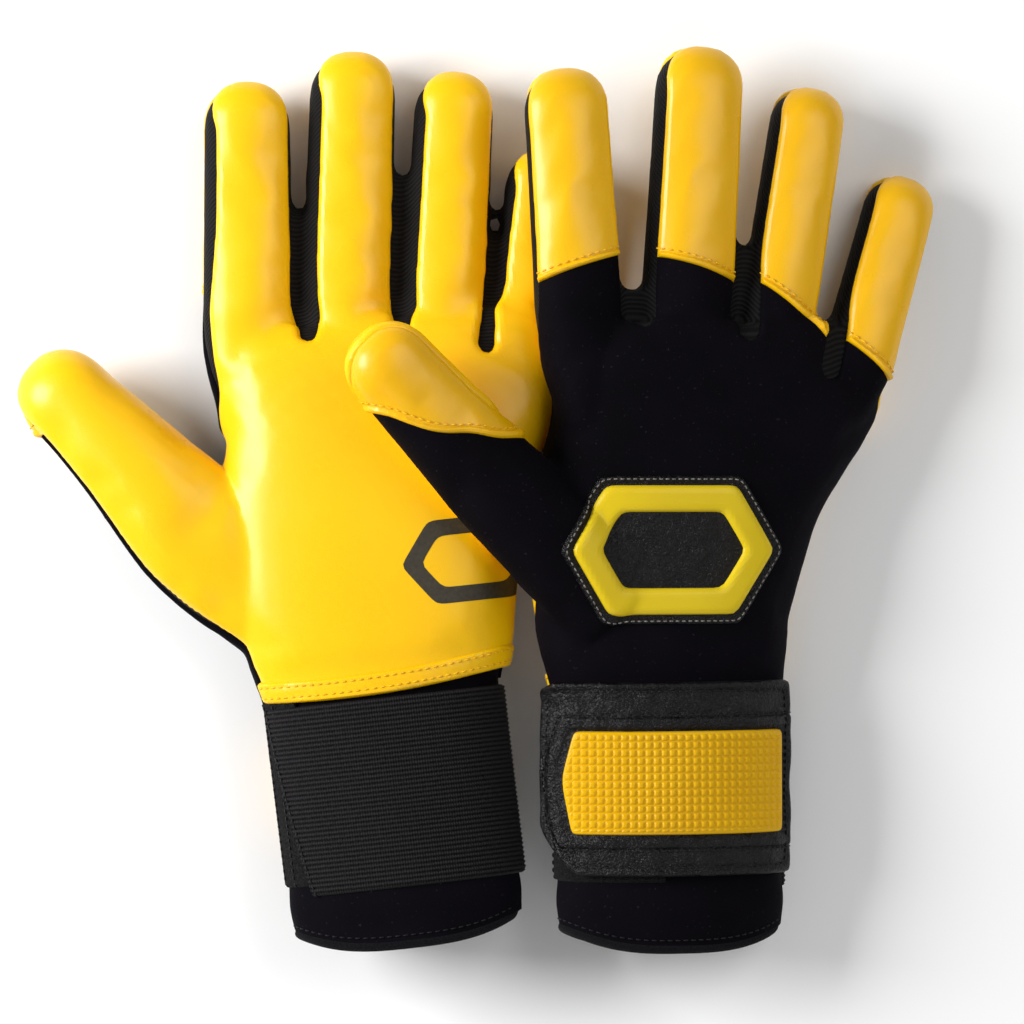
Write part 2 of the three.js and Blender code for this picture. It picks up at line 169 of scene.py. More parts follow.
# ---- Meshes as arrays ----
class Patch:
    """Points, normals, triangles and named values at the points, in a glove's frame."""

    def __init__(self, points, faces, normals=None, **values):
        self.p = np.asarray(points, float)
        self.f = np.asarray(faces, int).reshape(-1, 3)
        self.values = dict(values)
        self.n = self.face_normals() if normals is None else np.asarray(normals, float)

    def face_normals(self):
        a, b, c = (self.p[self.f[:, i]] for i in range(3))
        flat = np.cross(b - a, c - a)
        out = np.zeros_like(self.p)
        for i in range(3):
            for axis in range(3):
                out[:, axis] += np.bincount(self.f[:, i], flat[:, axis], len(self.p))
        return out / np.maximum(np.linalg.norm(out, axis=1, keepdims=True), 1e-12)

    def __getitem__(self, key):
        return self.values[key]

    def take(self, faces):
        used, faces = np.unique(faces, return_inverse=True)
        values = {k: v[used] for k, v in self.values.items()}
        return Patch(self.p[used], faces.reshape(-1, 3), self.n[used], **values)

    def crossed(self, value):
        """The triangles where value crosses 0, with their odd corner first, and where their edges cross it:
        each crossing edge's ends and share, and which two of these crossings each triangle has."""
        up = value > 0
        count = up[self.f].sum(axis=1)
        cross = self.f[(count == 1) | (count == 2)]
        if not len(cross):
            return None
        odd = np.where(up[cross].sum(axis=1) == 1, up[cross].argmax(axis=1), (~up[cross]).argmax(axis=1))
        rows = np.arange(len(cross))
        a, b, c = (cross[rows, (odd + i) % 3] for i in range(3))
        pairs = np.sort(np.concatenate([np.stack([a, b], 1), np.stack([a, c], 1)]), axis=1)
        unique, back = np.unique(pairs, axis=0, return_inverse=True)
        i, j = unique.T
        share = (value[i] / (value[i] - value[j]))[:, None]
        return (a, b, c), (i, j, share), back.reshape(2, -1)

    def cut(self, value, keep_low=False):
        """Splits the triangles where value crosses 0. The part below 0 goes, unless keep_low."""
        value = np.where(np.abs(value) < 1e-6, 1e-6, value)
        up = value > 0
        count = up[self.f].sum(axis=1)
        whole = self.f[count == 3]
        low = self.f[count == 0]
        found = self.crossed(value)
        if found is None:
            return self.take(np.concatenate([whole, low]) if keep_low else whole)
        (a, b, c), (i, j, share), back = found
        mix = lambda v: v[i] + (v[j] - v[i]) * (share if v.ndim > 1 else share[:, 0])
        ab, ac = back + len(self.p)
        tip = np.stack([a, ab, ac], 1)
        base = np.concatenate([np.stack([ab, b, c], 1), np.stack([ab, c, ac], 1)])
        tip_up = up[a]
        kept = [whole, tip[tip_up], base[np.concatenate([~tip_up, ~tip_up])]]
        if keep_low:
            kept += [low, tip[~tip_up], base[np.concatenate([tip_up, tip_up])]]
        normals = mix(self.n)
        normals /= np.maximum(np.linalg.norm(normals, axis=1, keepdims=True), 1e-12)
        joined = Patch(
            np.concatenate([self.p, mix(self.p)]),
            np.concatenate(kept),
            np.concatenate([self.n, normals]),
            **{k: np.concatenate([v, mix(v)]) for k, v in self.values.items()},
        )
        return joined.take(joined.f)

    def keep(self, key):
        return self.cut(self[key])

    def copy(self):
        return Patch(self.p, self.f, self.n, **self.values)

    def score(self, key, *levels):
        """Adds edges along levels of a value, so that a bend there stays crisp."""
        out = self
        for level in levels:
            out = out.cut(out[key] - level, keep_low=True)
        return out

    def push(self, amount):
        """Moves the points out along the skin's own normals, and sets the new normals."""
        amount = np.broadcast_to(amount, len(self.p))
        out = Patch(self.p + self.n * amount[:, None], self.f, self.n, **self.values)
        out.values["skin"] = self.n.copy()
        out.n = out.face_normals()
        return out

    def border(self):
        """Directed edges that only one triangle has."""
        e = np.concatenate([self.f[:, [0, 1]], self.f[:, [1, 2]], self.f[:, [2, 0]]])
        size = len(self.p)
        code, other = e[:, 0] * size + e[:, 1], e[:, 1] * size + e[:, 0]
        return e[~np.isin(code, other)]


def rounded(distance, radius, height, sink):
    """The offset of a panel's face: sunk at the seam, rising in a quarter circle to its height."""
    share = np.clip(distance / radius, 0, 1)
    return np.sqrt(np.maximum(1 - (1 - share) ** 2, 0)) * (height + sink) - sink


def smooth_step(x, low, high):
    t = np.clip((x - low) / (high - low), 0, 1)
    return t * t * (3 - 2 * t)


# ---- The glove's frame ----
class Glove:
    """Where a glove and its stalls are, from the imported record's mounts and joints."""

    def __init__(self, side):
        self.side = side
        record = frame["record"]
        mount = next(m for m in record["mounts"] if m["name"] == side + "_hand_opening")
        self.origin = np.array(mount["pos_m"], float)
        self.y = -np.array(mount["axis"], float)
        self.y /= np.linalg.norm(self.y)
        joints = {j["child"]: j for j in record["behaviour"]["joints"]}
        across = np.array(joints[side + "_middle"]["axis"], float)
        self.z = np.cross(across, self.y)
        self.z /= np.linalg.norm(self.z)
        palm_up = side == "left"
        if (self.z[2] > 0) == palm_up:
            self.z = -self.z
        self.mirrored = palm_up
        self.x = np.cross(self.y, self.z) * (-1 if self.mirrored else 1)
        self.stalls = {n: self.stall(joints[f"{side}_{n}"], n) for n in STALLS}

    def stall(self, joint, name):
        across = np.array(joint["axis"], float)
        across *= math.copysign(1, across @ self.x)
        base = self.local(np.array(joint["pos_m"], float))
        x_f = np.array([across @ self.x, across @ self.y])
        x_f /= np.linalg.norm(x_f)
        y_f = np.array([-x_f[1], x_f[0]])
        nodes = [frame["nodes"][f"{self.side}_{name}_{part}"] for part in ("palm", "back", "gusset")]
        world = np.array([v.co for node in nodes for v in node.data.vertices], float)
        points = self.local(world)
        u = (points[:, :2] - base[:2]) @ x_f
        v = (points[:, :2] - base[:2]) @ y_f
        root = points[v < 12, 2]
        pressed = PRESSED.get(f"{self.side}_{name}", 0.0)
        shift, turn, longer, wider = WORN[self.side][name]
        c, s = math.cos(math.radians(turn)), math.sin(math.radians(turn))
        x_f, y_f = x_f * c + y_f * s, y_f * c - x_f * s
        return {
            "base": base[:2] + (shift, 0),
            "x": x_f,
            "y": y_f,
            "half": (u.max() - u.min()) / 2 + wider,
            "length": v.max() + longer,
            "low": root.min() + pressed,
            "high": root.max(),
            "tip": points[v > v.max() - 12, 2].mean() + pressed / 2,
        }

    def local(self, world):
        away = (world - self.origin) / MM
        return np.stack([away @ self.x, away @ self.y, away @ self.z], axis=-1)

    def world(self, points):
        points = np.asarray(points, float)
        axes = np.stack([self.x, self.y, self.z])
        return self.origin + points @ axes * MM

    def direction(self, vectors):
        return np.asarray(vectors, float) @ np.stack([self.x, self.y, self.z])

    def along(self, name, points):
        """A point's place across and along a stall."""
        stall = self.stalls[name]
        away = points[:, :2] - stall["base"]
        return away @ stall["x"], away @ stall["y"]


# ---- The organic skin ----
def loft(rings):
    """A closed surface through rings of points, as (points, quads and end fans)."""
    rings = np.asarray(rings, float)
    count, around = rings.shape[:2]
    points = np.concatenate([rings.reshape(-1, 3), rings[0].mean(0)[None], rings[-1].mean(0)[None]])
    faces = []
    for i in range(count - 1):
        for j in range(around):
            k = (j + 1) % around
            faces.append((i * around + j, i * around + k, (i + 1) * around + k, (i + 1) * around + j))
    for j in range(around):
        k = (j + 1) % around
        faces.append((k, j, count * around))
        faces.append(((count - 1) * around + j, (count - 1) * around + k, count * around + 1))
    return points, faces


def section(half, above, below, power, around=56):
    angle = np.linspace(0, 2 * math.pi, around, endpoint=False)
    c, s = np.cos(angle), np.sin(angle)
    square = lambda v: np.sign(v) * np.abs(v) ** (2 / power)
    return np.stack([square(c) * half, np.where(s > 0, above, below) * square(s)], axis=1)


def hand_table(glove, ys):
    """Middle, half width, height above, depth below and squareness of the hand at those distances."""
    table = np.array(HAND)
    columns = [np.interp(ys, table[:, 0], table[:, i]) for i in range(1, 6)]
    drawn = WAIST / 2 * np.exp(-(((ys - 171) / 13) ** 2))
    heel = HEEL[glove.side] / 2 * smooth_step(ys, 76, 90) * (1 - smooth_step(ys, 116, 150))
    columns[0] = columns[0] + drawn + heel
    columns[1] = columns[1] - drawn + heel
    return columns


def hand_loft(glove):
    ys = np.append(np.arange(HAND[0][0], HAND[-1][0], 3.0), HAND[-1][0])
    kernel = np.ones(5) / 5
    columns = [np.convolve(np.pad(c, 2, mode="edge"), kernel, mode="valid") for c in hand_table(glove, ys)]
    rings = []
    for y, middle, half, above, below, power in zip(ys, *columns):
        ring = section(half, above, below, power)
        rings.append(np.stack([ring[:, 0] + middle, np.full(len(ring), y), ring[:, 1]], axis=1))
    return loft(rings)


def stall_loft(stall, root, dome, power, taper, sunk, drawn, swell=0):
    """A stall with a domed tip, from root millimetres inside the hand to its full length."""
    dome *= stall["half"]
    middle = (stall["low"] + stall["high"]) / 2
    thick = (stall["high"] - stall["low"]) / 2
    length, half = stall["length"] + TIP_PAD, stall["half"]
    turns = np.linspace(0, math.pi / 2, 9)[1:-1]
    vs = list(np.linspace(-root, length - dome, 14)) + [length - dome + dome * math.sin(t) for t in turns]
    rings = []
    for v in vs:
        share = max(v, 0) / length
        end = max(1 - (max(v - (length - dome), 0) / dome) ** TIP_POWER, 0.0) ** (1 / TIP_POWER)
        inside = min(v, 0) / root
        deep = 1 - 0.1 * share + sunk * inside
        wide = 1 - taper * share + drawn * inside
        swollen = swell / 2 * math.exp(-(((v + 12) / 38) ** 2))
        ring = section(half * wide * end + swollen, thick * deep * end, thick * deep * end, power)
        ring[:, 0] -= swollen
        height = middle + (stall["tip"] - middle) * share ** 2
        flat = stall["base"] + np.outer(ring[:, 0], stall["x"]) + v * stall["y"]
        rings.append(np.concatenate([flat, ring[:, 1:] + height], axis=1))
    return loft(rings)


def web_loft(left, right, top):
    """The gusset that closes the gap between two fingers."""
    rings = []
    across = (left["x"] + right["x"]) / np.linalg.norm(left["x"] + right["x"])
    for v in np.linspace(WEB_LOFT["from"], top, 12):
        a = left["base"] + left["x"] * left["half"] + left["y"] * v
        b = right["base"] - right["x"] * right["half"] + right["y"] * v
        share = max(v, 0) / left["length"]
        root = (left["low"] + left["high"]) / 2
        height = root + (left["tip"] - root) * share ** 2
        half, thick = max((b - a) @ across, 0) / 2 + WEB_LOFT["overlap"], WEB_LOFT["half_thick"]
        ring = section(half, thick, thick, WEB_LOFT["power"], around=24)
        flat = (a + b) / 2 + np.outer(ring[:, 0], across)
        rings.append(np.concatenate([flat, ring[:, 1:] + height], axis=1))
    return loft(rings)


def mesh_object(name, points, faces):
    mesh = bpy.data.meshes.new(name)
    mesh.from_pydata([tuple(p) for p in points], [], [tuple(int(i) for i in f) for f in faces])
    mesh.update()
    made = bpy.data.objects.new(name, mesh)
    bpy.context.scene.collection.objects.link(made)
    return made


def mesh_arrays(obj):
    """An object's evaluated points and triangles, each quad split along its shorter diagonal."""
    evaluated = obj.evaluated_get(bpy.context.evaluated_depsgraph_get())
    mesh = evaluated.to_mesh()
    points = np.zeros(len(mesh.vertices) * 3)
    mesh.vertices.foreach_get("co", points)
    mesh.calc_loop_triangles()
    triangles = np.zeros(len(mesh.loop_triangles) * 3, int)
    mesh.loop_triangles.foreach_get("vertices", triangles)
    evaluated.to_mesh_clear()
    return points.reshape(-1, 3), triangles.reshape(-1, 3)


def remeshed(lofts, voxel):
    """The union of closed lofts as one skin of even triangles."""
    points, faces, first = [], [], 0
    for p, f in lofts:
        points.append(p)
        faces += [tuple(i + first for i in face) for face in f]
        first += len(p)
    source = mesh_object("union", np.concatenate(points), faces)
    modifier = source.modifiers.new("voxels", "REMESH")
    modifier.mode = "VOXEL"
    modifier.voxel_size = voxel
    made = mesh_arrays(source)
    bpy.data.objects.remove(source)
    return made


def smoothed(points, faces, steps, shrink=0.5, grow=-0.52):
    """Taubin smoothing, which rounds the webs without thinning the fingers."""
    e = neighbours(faces)
    degree = np.bincount(e[:, 0], minlength=len(points))[:, None]
    for step in range(steps * 2):
        total = np.stack([np.bincount(e[:, 0], points[e[:, 1], i], len(points)) for i in range(3)], 1)
        points = points + (total / degree - points) * (shrink if step % 2 == 0 else grow)
    return points


def skin_of(glove):
    points, faces = remeshed(glove_lofts(glove), SKIN_VOXEL)
    skin = Patch(smoothed(points, faces, SKIN_SMOOTHING), faces)
    return eased(skin)


def eased(skin):
    """Levels the palm side round the knuckles, where the fingers' roots would stand out as steps."""
    x, y, z = skin.p.T
    under = smooth_step(-skin.n[:, 2], 0.25, 0.6)
    start, full, last, end = EASED["y"]
    weight = under * smooth_step(y, start, full) * (1 - smooth_step(y, last, end))
    weight = weight * (x > -60)
    level = z.copy()
    for _ in range(EASED["steps"]):
        level += weight * (smooth_values(skin, level, 1) - level)
    return Patch(np.stack([x, y, level], axis=1), skin.f)


def glove_lofts(glove):
    lofts = [hand_loft(glove)]
    for name in FINGERS:
        lofts.append(stall_loft(glove.stalls[name], FINGER_ROOT[name], **FINGER_LOFT))
    for i in range(3):
        lofts.append(web_loft(*(glove.stalls[n] for n in FINGERS[i:i + 2]), WEB_TOP[glove.side][i]))
    swell = THUMB_HEEL[glove.side]
    lofts.append(stall_loft(glove.stalls["thumb"], THUMB_ROOT, **THUMB_LOFT, swell=swell))
    return lofts


def settled(glove, skin):
    """The skin after a cloth simulation in which the panels swell and crease between their seams."""
    points, faces = remeshed(glove_lofts(glove), SETTLING["voxel"])
    coarse = mark_seams(glove, Patch(smoothed(points, faces, 3), faces))
    points = coarse.p
    near = np.minimum(np.abs(coarse["palm"]), np.abs(coarse["back"])) < SETTLING["pinned"]
    still = np.flatnonzero(near | (coarse["gusset"] > 0) | (coarse["y"] < HEM_BAND[1] + 5))
    source = mesh_object("settling", points * SETTLING["scale"], faces)
    source.vertex_groups.new(name="still").add([int(i) for i in still], 1.0, "REPLACE")
    cloth = source.modifiers.new("cloth", "CLOTH")
    cloth.settings.vertex_group_mass = "still"
    cloth.settings.use_pressure = True
    cloth.settings.uniform_pressure_force = SETTLING["pressure"]
    cloth.settings.shrink_min = -SETTLING["spare"]
    cloth.settings.shrink_max = -SETTLING["spare"]
    cloth.settings.effector_weights.gravity = 0
    for step in range(1, SETTLING["steps"] + 1):
        bpy.context.scene.frame_set(step)
    moved = mesh_arrays(source)[0] / SETTLING["scale"] - points
    bpy.data.objects.remove(source)
    bpy.context.scene.frame_set(1)
    moved = np.stack([smooth_values(coarse, moved[:, i], 1) for i in range(3)], axis=1)
    far = np.linalg.norm(moved, axis=1, keepdims=True)
    moved *= np.minimum(1, SETTLING["cap"] / np.maximum(far, 1e-6))
    tree = KDTree(len(points))
    for i, p in enumerate(points):
        tree.insert(p, i)
    tree.balance()
    shift = np.zeros_like(skin.p)
    for i, p in enumerate(skin.p):
        found = tree.find_n(p, 5)
        weights = np.array([1 / (d * d + 0.5) for _, _, d in found])
        shift[i] = weights @ moved[[k for _, k, _ in found]] / weights.sum()
    shift = np.stack([smooth_values(skin, shift[:, i], 4) for i in range(3)], axis=1)
    return Patch(skin.p + shift, skin.f, None, **skin.values)


# ---- Seams, as values over the skin ----
def segment_distance(x, y, a, b):
    a, b = np.array(a, float), np.array(b, float)
    d = b - a
    t = np.clip(((x - a[0]) * d[0] + (y - a[1]) * d[1]) / (d @ d), 0, 1)
    return np.hypot(x - a[0] - t * d[0], y - a[1] - t * d[1])


def edge_share(s, shares):
    """A seam's share of the half thickness, from the thumb's side (s = -1) over the tip to the other side."""
    side = np.where(s < 0, shares[0], shares[2])
    return shares[1] + (side - shares[1]) * s ** 2


def smooth_min(a, b, soft=1.5):
    low = np.minimum(a, b)
    return low - soft * np.log1p(np.exp(-np.abs(a - b) / soft))


def mark_seams(glove, skin):
    """Adds palm, back and gusset, positive inside each panel, and own_NAME and hem_NAME for each stall."""
    x, y, z = skin.p.T
    place = {}
    for name in STALLS:
        stall = glove.stalls[name]
        u, v = glove.along(name, skin.p)
        length = stall["length"] + TIP_PAD
        share = np.clip(v / length, 0, 1)
        root = (stall["low"] + stall["high"]) / 2
        middle = root + (stall["tip"] - root) * share ** 2
        thick = (stall["high"] - stall["low"]) / 2 * (1 - 0.1 * share)
        beyond = np.hypot(u, np.maximum(v - length + stall["half"], 0))
        s = np.clip(u / np.maximum(beyond, 3), -1, 1)
        ratio = np.abs(u) / stall["half"]
        place[name] = {"u": u, "v": v, "middle": middle, "thick": thick, "s": s, "ratio": ratio}
    order = np.array([place[n]["ratio"] for n in FINGERS]).argmin(axis=0)
    pick = lambda key: np.choose(order, [place[n][key] for n in FINGERS])
    u, v, middle, thick, s = (pick(k) for k in ("u", "v", "middle", "thick", "s"))
    outer = ((order == 0) & (s < 0)) | ((order == 3) & (s > 0))
    palm_share = edge_share(s, PALM_EDGE)
    back_share = edge_share(s, BACK_EDGE) - np.where((order == 0) & (s < 0), 0.25 * s ** 2, 0)
    root_share = np.where(order == 0, 0.6, 0.3)
    palm_share = np.where(outer, root_share + (palm_share - root_share) * smooth_step(v, -16, 40), palm_share)
    back_share = np.where(outer, -0.3 + (back_share + 0.3) * smooth_step(v, -30, 10), back_share)
    to_hand = 1 - smooth_step(v, -30, -10)
    near, far = HAND_EDGE[glove.side]
    seam = far + (near - far) * smooth_step(-x, 5, 35)
    low = middle - palm_share * thick
    high = middle + back_share * thick
    low, high = low + (seam - low) * to_hand, high + (seam - high) * to_hand

    # The palm's latex wraps round the thumb's tip and inner side.
    t = place["thumb"]
    inner = -0.2 + 0.9 * (1 - smooth_step(t["v"], 4, 26))
    rise = np.where(t["s"] < 0, 0.8, inner) * t["s"] ** 2
    fall = np.where(t["s"] < 0, -0.45, 0.2) * t["s"] ** 2
    half = glove.stalls["thumb"]["half"]
    on_thumb = smooth_step(t["v"], -44, -14) * (1 - smooth_step(t["u"], half * 1.05, half * 1.7)) * (x < -20)
    low = low + (t["middle"] - (rise - 0.35) * t["thick"] - low) * on_thumb
    high = high + (t["middle"] + (fall + 0.35) * t["thick"] - high) * on_thumb

    # Between thumb and index the palm ends at the glove's edge.
    there = np.exp(-(((x + 42) / 13) ** 2) - ((y - 160) / 19) ** 2)
    rise = np.clip(there * 1.6, 0, 1)
    low = low + (CROTCH_EDGE[glove.side] - low) * rise
    high = high + (CROTCH_EDGE[glove.side] + 0.4 - high) * rise
    palm, back = low - z, z - high
    for i in range(3):
        left, right = (glove.stalls[n] for n in FINGERS[i:i + 2])
        web = web_point(left, right)
        along = left["y"] + right["y"]
        along = along / np.linalg.norm(along)
        for field, spec, key in ((palm, WEB_PALM, "palm"), (back, WEB_BACK, "back")):
            foot = np.array([web[0] + spec["shift"][i], spec["y"][i]])
            beyond = (x - foot[0]) * along[0] + (y - foot[1]) * along[1]
            away = segment_distance(x, y, foot, foot + along * 60) - spec["radius"]
            away += smooth_step(beyond, 0, WEB_TAPER[0]) * WEB_TAPER[1]
            joined = smooth_min(field, away, 0.8)
            if key == "palm":
                palm = np.where(y > 150, joined, palm)
            else:
                back = np.where(y > 150, joined, back)
    skin.values.update(y=y, vt=t["v"])
    gap = np.where(y > 150, np.maximum(high - low, 10 * (y > 170) * ~outer), high - low)
    skin.values["opened"] = smooth_values(skin, gap - 0.5, 2)

    # A stall owns what lies beyond its knuckle, up to the line halfway to its neighbour.
    crotch = np.array(CROTCH[glove.side])
    along = glove.stalls["thumb"]["y"] + glove.stalls["index"]["y"]
    along = along / np.linalg.norm(along)
    crease = (crotch[0] - x) * along[1] - (crotch[1] - y) * along[0]
    nearest = {}
    for i, name in enumerate(FINGERS):
        others = [place[other]["ratio"] for other in FINGERS[max(i - 1, 0):i] + FINGERS[i + 1:i + 2]]
        nearest[name] = np.minimum((np.min(others, axis=0) - place[name]["ratio"]) * 12, -crease)
        skin.values["own_" + name] = np.minimum(place[name]["v"] - BLEND[0], nearest[name])
    skin.values["own_thumb"] = np.minimum(t["v"] - BLEND[0], crease)

    # The hems of the latex on the backs of the stalls.
    for name in FINGERS:
        start, slope = BACK_HEM[name]
        u, v = place[name]["u"], place[name]["v"]
        hem = (v - start - slope * u + 0.006 * u ** 2) / math.hypot(1, slope)
        skin.values["hem_" + name] = np.minimum(hem, nearest[name])
    a, b = np.array(THUMB_HEM["from"]), np.array(THUMB_HEM["to"])
    d = (b - a) / np.linalg.norm(b - a)
    hem = (t["u"] - a[0]) * -d[1] + (t["v"] - a[1]) * d[0]
    run = (t["u"] - a[0]) * d[0] + (t["v"] - a[1]) * d[1]
    hem = hem + 1.1 * np.sin(run / 4.6 + 0.6) * smooth_step(run, 20, 40)
    hem = hem + 3.0 * np.exp(-(((run - 15) / 13) ** 2))
    skin.values["hem_thumb"] = np.min([hem, crease, t["v"] + 1, THUMB_HEM["inner"] - t["u"]], axis=0)
    palm, back = (smooth_values(skin, field, 3) for field in (palm, back))
    skin.values.update(palm=palm, back=back, gusset=np.minimum(-palm, -back))
    return skin


def neighbours(faces):
    """Each edge's two ends, in both directions."""
    e = np.concatenate([faces[:, [0, 1]], faces[:, [1, 2]], faces[:, [2, 0]]])
    return np.concatenate([e, e[:, ::-1]])


def smooth_values(skin, value, steps):
    e = neighbours(skin.f)
    degree = np.maximum(np.bincount(e[:, 0], minlength=len(skin.p)), 1)
    for _ in range(steps):
        value = 0.5 * value + 0.5 * np.bincount(e[:, 0], value[e[:, 1]], len(skin.p)) / degree
    return value


def seam_distance(patch, value, reach=6.0):
    """How far each point is from where a value crosses 0, in millimetres, up to reach."""
    points = crossings(patch, value)[0]
    if not len(points):
        return np.full(len(patch.p), reach)
    tree = KDTree(len(points))
    for i, p in enumerate(points):
        tree.insert(p, i)
    tree.balance()
    near = np.abs(value) < reach * 2.5
    away = np.full(len(patch.p), reach)
    away[near] = [tree.find(p)[2] for p in patch.p[near]]
    return np.minimum(away, reach)


def crossings(patch, value):
    """Where edges cross a value's 0: the points, their normals and the pairs that a triangle joins."""
    found = patch.crossed(np.where(np.abs(value) < 1e-9, 1e-9, value))
    if found is None:
        return np.zeros((0, 3)), np.zeros((0, 3)), np.zeros((0, 2), int)
    i, j, share = found[1]
    mix = lambda v: v[i] + (v[j] - v[i]) * share
    return mix(patch.p), mix(patch.n), found[2].T


def contour(patch, value):
    """The lines where a value crosses 0, as (points, normals) along each."""
    points, normals, links = crossings(patch, value)
    beside = {}
    for a, b in links:
        beside.setdefault(int(a), []).append(int(b))
        beside.setdefault(int(b), []).append(int(a))
    lines, seen = [], set()
    starts = [k for k, v in beside.items() if len(v) == 1] + list(beside)
    for start in starts:
        if start in seen:
            continue
        chain, current = [start], start
        seen.add(start)
        while True:
            following = [k for k in beside[current] if k not in seen]
            if not following:
                break
            current = following[0]
            seen.add(current)
            chain.append(current)
        closed = len(chain) > 3 and start in beside[chain[-1]]
        if len(chain) > 4:
            chain = chain + [start] if closed else chain
            lines.append((smooth_line(points[chain], closed), smooth_line(normals[chain], closed)))
    return lines


def smooth_line(values, closed, steps=4):
    values = values.copy()
    for _ in range(steps):
        if closed:
            ring = values[:-1]
            ring = (np.roll(ring, 1, axis=0) + 2 * ring + np.roll(ring, -1, axis=0)) / 4
            values = np.concatenate([ring, ring[:1]])
        else:
            values[1:-1] = (values[:-2] + 2 * values[1:-1] + values[2:]) / 4
    return values


def web_point(left, right):
    """Where two neighbouring stalls part, in the glove's plane."""
    reach = lambda s, side: s["base"] + s["x"] * s["half"] * side
    a, b = reach(left, 1), reach(right, -1)
    middle = (a + b) / 2
    return middle + np.array([0, 9.0])


# ---- From patches to pieces ----
MATERIALS = {}


def piece(glove, name, patch, thick, material, slot, body="glove", blend=None, replaces=(), pad=None):
    """Makes a patch a shell with crisp rims (or takes it as it is, if thick is 0) and puts it on its body: on
    the glove or the strap, or, for a piece on the stall that blend names, leaves it in place with its
    transform baked."""
    name = f"{glove.side}_{name}"
    count = len(patch.p)
    skin = patch.values.get("skin", patch.n)
    rim = patch.border()
    if thick:
        points = np.concatenate([patch.p, patch.p - skin * thick])
        triangles = np.concatenate([patch.f, patch.f[:, ::-1] + count])
        quads = np.stack([rim[:, 1], rim[:, 0], rim[:, 0] + count, rim[:, 1] + count], axis=1)
    else:
        points, triangles, quads = patch.p, patch.f, np.zeros((0, 4), int)
    points = glove.world(points)
    if glove.mirrored:
        triangles, quads = triangles[:, ::-1], quads[:, ::-1]
    mesh = bpy.data.meshes.new(name)
    loops = np.concatenate([triangles.ravel(), quads.ravel()])
    mesh.vertices.add(len(points))
    mesh.vertices.foreach_set("co", points.ravel())
    mesh.loops.add(len(loops))
    mesh.loops.foreach_set("vertex_index", loops.astype(np.int32))
    starts = np.concatenate([np.arange(len(triangles)) * 3, len(triangles) * 3 + np.arange(len(quads)) * 4])
    mesh.polygons.add(len(starts))
    mesh.polygons.foreach_set("loop_start", starts.astype(np.int32))
    mesh.update(calc_edges=True)
    uv = mesh.uv_layers.new(name="UVMap")
    flat = patch.values.get("flat", patch.p[:, :2])
    flat = np.concatenate([flat, flat]) if thick else flat
    uv.data.foreach_set("uv", (flat[loops] * MM).ravel())
    outward = glove.direction(patch.n)
    both = np.concatenate([outward, -outward]) if thick else outward
    q = points[quads]
    rim_normals = np.cross(q[:, 1] - q[:, 0], q[:, 3] - q[:, 0])
    rim_normals /= np.maximum(np.linalg.norm(rim_normals, axis=1, keepdims=True), 1e-12)
    normals = np.concatenate([both[triangles.ravel()], np.repeat(rim_normals, 4, axis=0)])
    mesh.normals_split_custom_set([tuple(n) for n in normals])
    made = bpy.data.objects.new(name, mesh)
    bpy.context.scene.collection.objects.link(made)
    mesh.materials.append(MATERIALS[material])
    attach(glove, made, body, blend, replaces)


def attach(glove, made, body, blend, replaces):
    if blend:
        stall = glove.stalls[blend]
        height = (stall["low"] + stall["high"]) / 2
        start, end = (np.append(stall["base"] + stall["y"] * v, height) for v in BLEND)
        start, end = (tuple(glove.world(place)) for place in (start, end))
        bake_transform(made)
    else:
        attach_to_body(made, f"{glove.side}_{body}")
    if replaces:
        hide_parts(*(f"{glove.side}_{n}" for n in replaces))


def split_owners(patch):
    """The patch's part on each stall, and what is left on the hand."""
    parts = {}
    rest = patch
    for name in STALLS:
        parts[name] = patch.keep("own_" + name)
        rest = rest.cut(-rest["own_" + name])
    parts["hand"] = rest
    return parts


